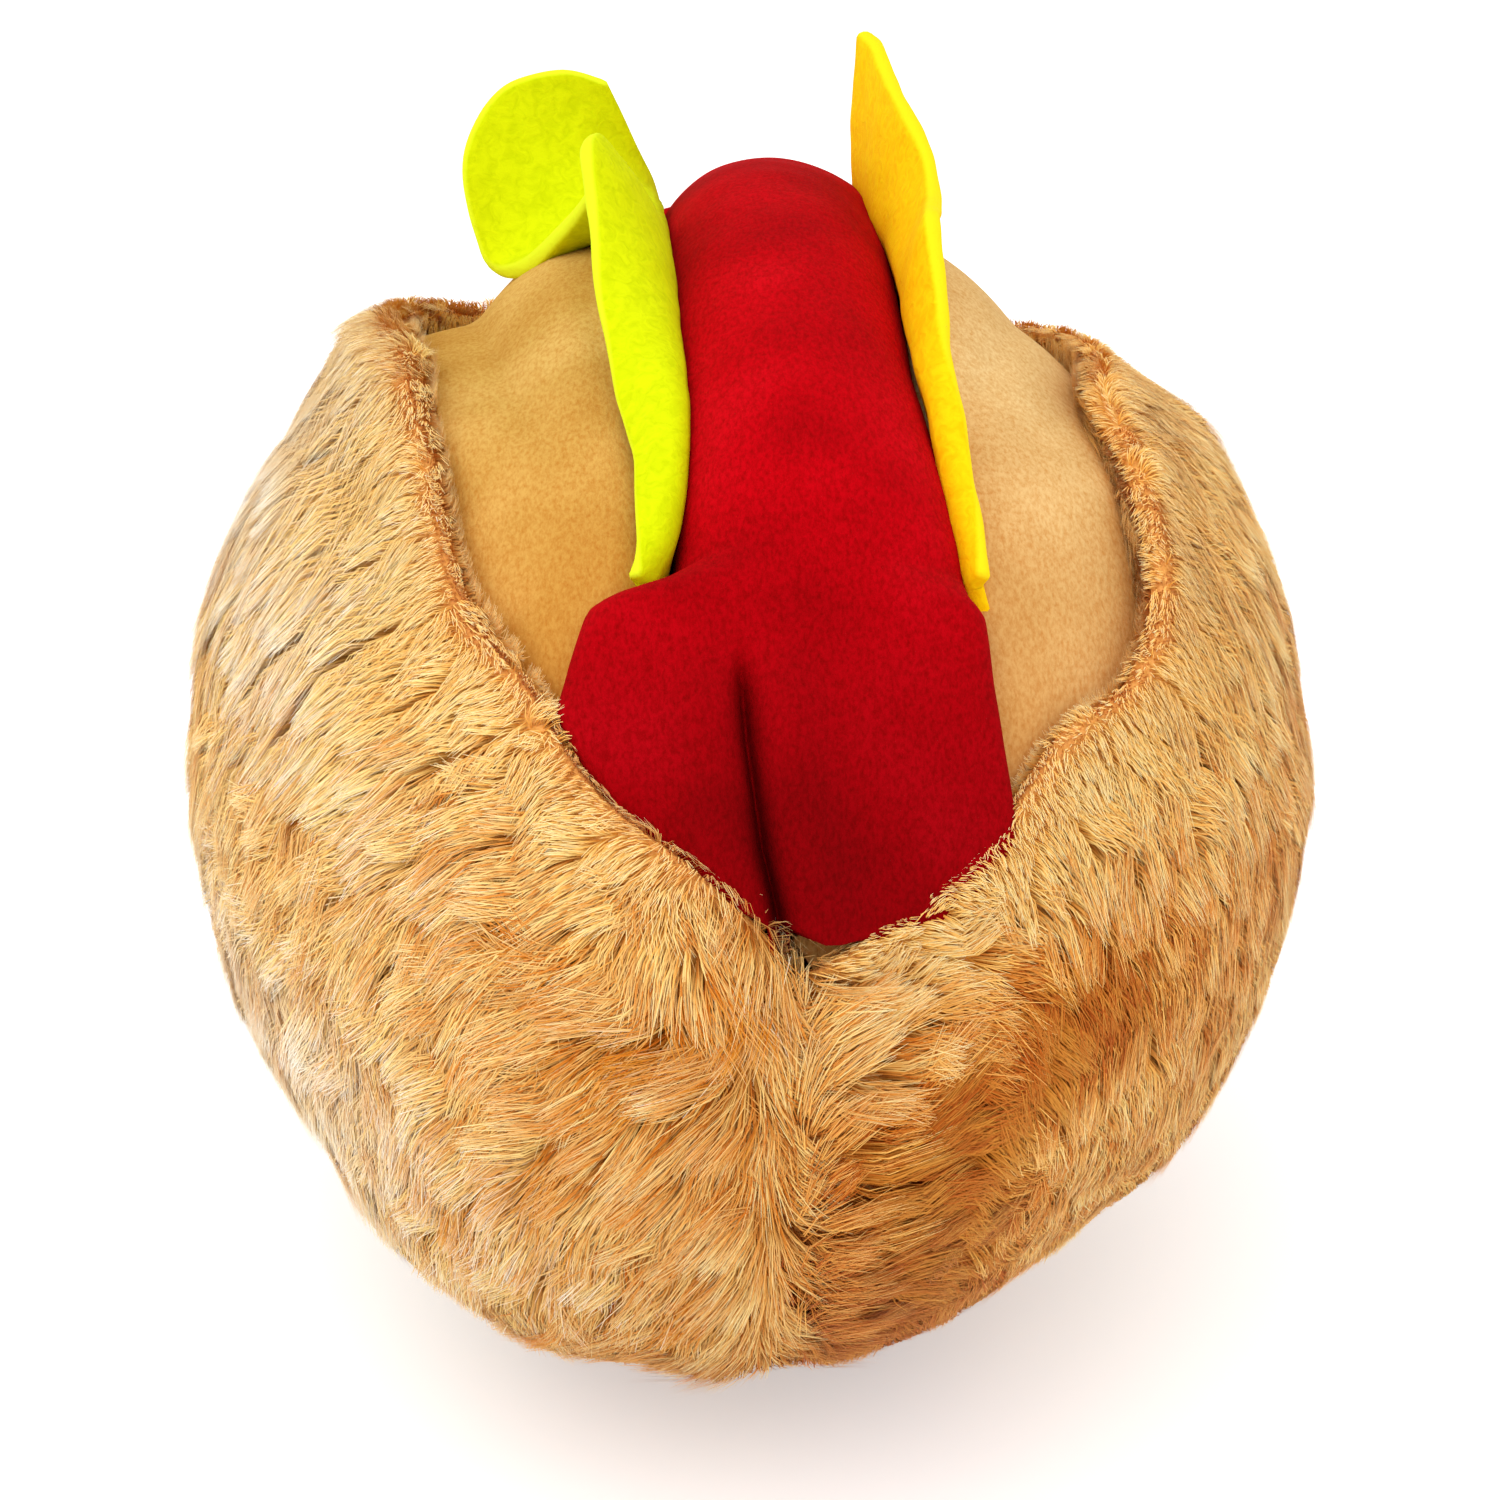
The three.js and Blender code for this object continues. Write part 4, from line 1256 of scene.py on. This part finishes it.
class HOTDOG_OT_squeaker(bpy.types.Operator):
    """Builds the squeaker's bulb and gives its other parts their materials"""

    bl_idname = "hot_dog.squeaker"
    bl_label = "Squeaker"

    def execute(self, context):
        soft = plain_material("blown_polyethylene", "#eef1f3", "#e2e6ea", 0.4)
        hard = plain_material("moulded_polypropylene", "#f6f6f1", "#ecebe4", 0.42)
        steel = plain_material("rolled_reed_steel", "#c9ccd0", "#b9bdc2", 0.3, metallic=1.0)
        rings = bulb_rings()
        faces = grid_faces(BULB_SIDES + 1, rings.shape[1])
        faces = [tuple(corner % rings[..., 0].size for corner in face) for face in faces]
        bulb = new_piece("squeaker_bulb_blown", rings, faces, soft, merge=0.001)
        settle(bulb, "squeaker_bulb")
        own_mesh(bulb)
        parts = {"squeaker_plug": hard, "reed_holder": hard, "squeaker_reed": steel}
        for node, material in parts.items():
            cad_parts[node].material_slots[0].material = material
        return {"FINISHED"}


class HOTDOG_OT_stage(bpy.types.Operator):
    """Sets the floor, the lamps, the world and the camera"""

    bl_idname = "hot_dog.stage"
    bl_label = "Stage"

    def execute(self, context):
        scene = context.scene
        stage = scene.hot_dog_stage
        scene.view_settings.view_transform = "Standard"
        target = np.array([0.0006, 0.0, 0.0702])
        turn, rise = stage.azimuth, stage.elevation
        back = math.cos(rise) * np.array([math.sin(turn), -math.cos(turn), math.tan(rise)])
        lens = bpy.data.cameras.new("camera")
        lens.lens, lens.clip_start, lens.clip_end = stage.lens, 0.01, 50
        camera = new_object("camera", lens)
        camera.location = target + stage.distance * back
        camera.rotation_euler = (math.pi / 2 - rise, 0, turn)
        scene.camera = camera

        material, tree, shader = new_material("pale_floor")
        feed(
            shader,
            {
                "Base Color": (0.86, 0.86, 0.86, 1),
                "Roughness": 0.9,
                "Specular IOR Level": 0.0,
                "Emission Color": (1, 1, 1, 1),
                "Emission Strength": add_maths(tree, "MULTIPLY", seen_directly(tree), 0.36),
            },
        )
        mesh = bpy.data.meshes.new("floor")
        mesh.from_pydata([(-4, -4, 0), (4, -4, 0), (4, 6, 0), (-4, 6, 0)], [], [(0, 1, 2, 3)])
        mesh.materials.append(material)
        new_object("floor", mesh)

        world = bpy.data.worlds.new("studio")
        scene.world = world
        world.use_nodes = True
        tree = world.node_tree
        strength = {0: seen_directly(tree), 3: 0.82, 4: 1.0}
        strength = add_node(tree, "ShaderNodeMapRange", (), strength)
        feed(tree.nodes["Background"], {"Color": (1, 1, 1, 1), "Strength": strength})

        for name, place, size, power in (
            ("key", (-0.6, -0.9, 1.1), 1.8, stage.key),
            ("fill", (1.1, -0.7, 0.8), 1.6, stage.key * 0.45),
            ("side", (-1.3, -0.1, 0.6), 1.6, stage.key * 0.4),
            ("top", (0.0, 0.2, 1.4), 1.6, stage.key * 0.4),
        ):
            lamp = bpy.data.lights.new(name, "AREA")
            lamp.size, lamp.energy = size, power
            holder = new_object(name, lamp)
            holder.location = place
            x, y, z = np.array(place) - target
            tilt, turn = math.atan2(math.hypot(x, y), z), math.atan2(y, x) + math.pi / 2
            holder.rotation_euler = (tilt, 0, turn)
        return {"FINISHED"}


class HOTDOG_PT_panel(bpy.types.Panel):
    """Lists the steps that build the toy"""

    bl_label = "Plush Hot Dog"
    bl_space_type = "VIEW_3D"
    bl_region_type = "UI"
    bl_category = "Hot Dog"

    def draw(self, context):
        for step in STEPS:
            self.layout.operator(step.bl_idname)
        for group in (context.scene.hot_dog_bun, context.scene.hot_dog_stage):
            box = self.layout.box()
            for name in group.__annotations__:
                box.prop(group, name)


STEPS = (
    HOTDOG_OT_stage,
    HOTDOG_OT_filling,
    HOTDOG_OT_squeaker,
    HOTDOG_OT_faces,
    HOTDOG_OT_sausage,
    HOTDOG_OT_leaves,
    HOTDOG_OT_bun,
)
CLASSES = (HotDogBun, HotDogStage, *STEPS, HOTDOG_PT_panel)


def register():
    for kind in CLASSES:
        bpy.utils.register_class(kind)
    bpy.types.Scene.hot_dog_bun = bpy.props.PointerProperty(type=HotDogBun)
    bpy.types.Scene.hot_dog_stage = bpy.props.PointerProperty(type=HotDogStage)


def unregister():
    del bpy.types.Scene.hot_dog_bun
    del bpy.types.Scene.hot_dog_stage
    for kind in reversed(CLASSES):
        bpy.utils.unregister_class(kind)


def main():
    register()
    for step in STEPS:
        group, name = step.bl_idname.split(".")
        getattr(getattr(bpy.ops, group), name)()


if __name__ == "__main__":
    main()
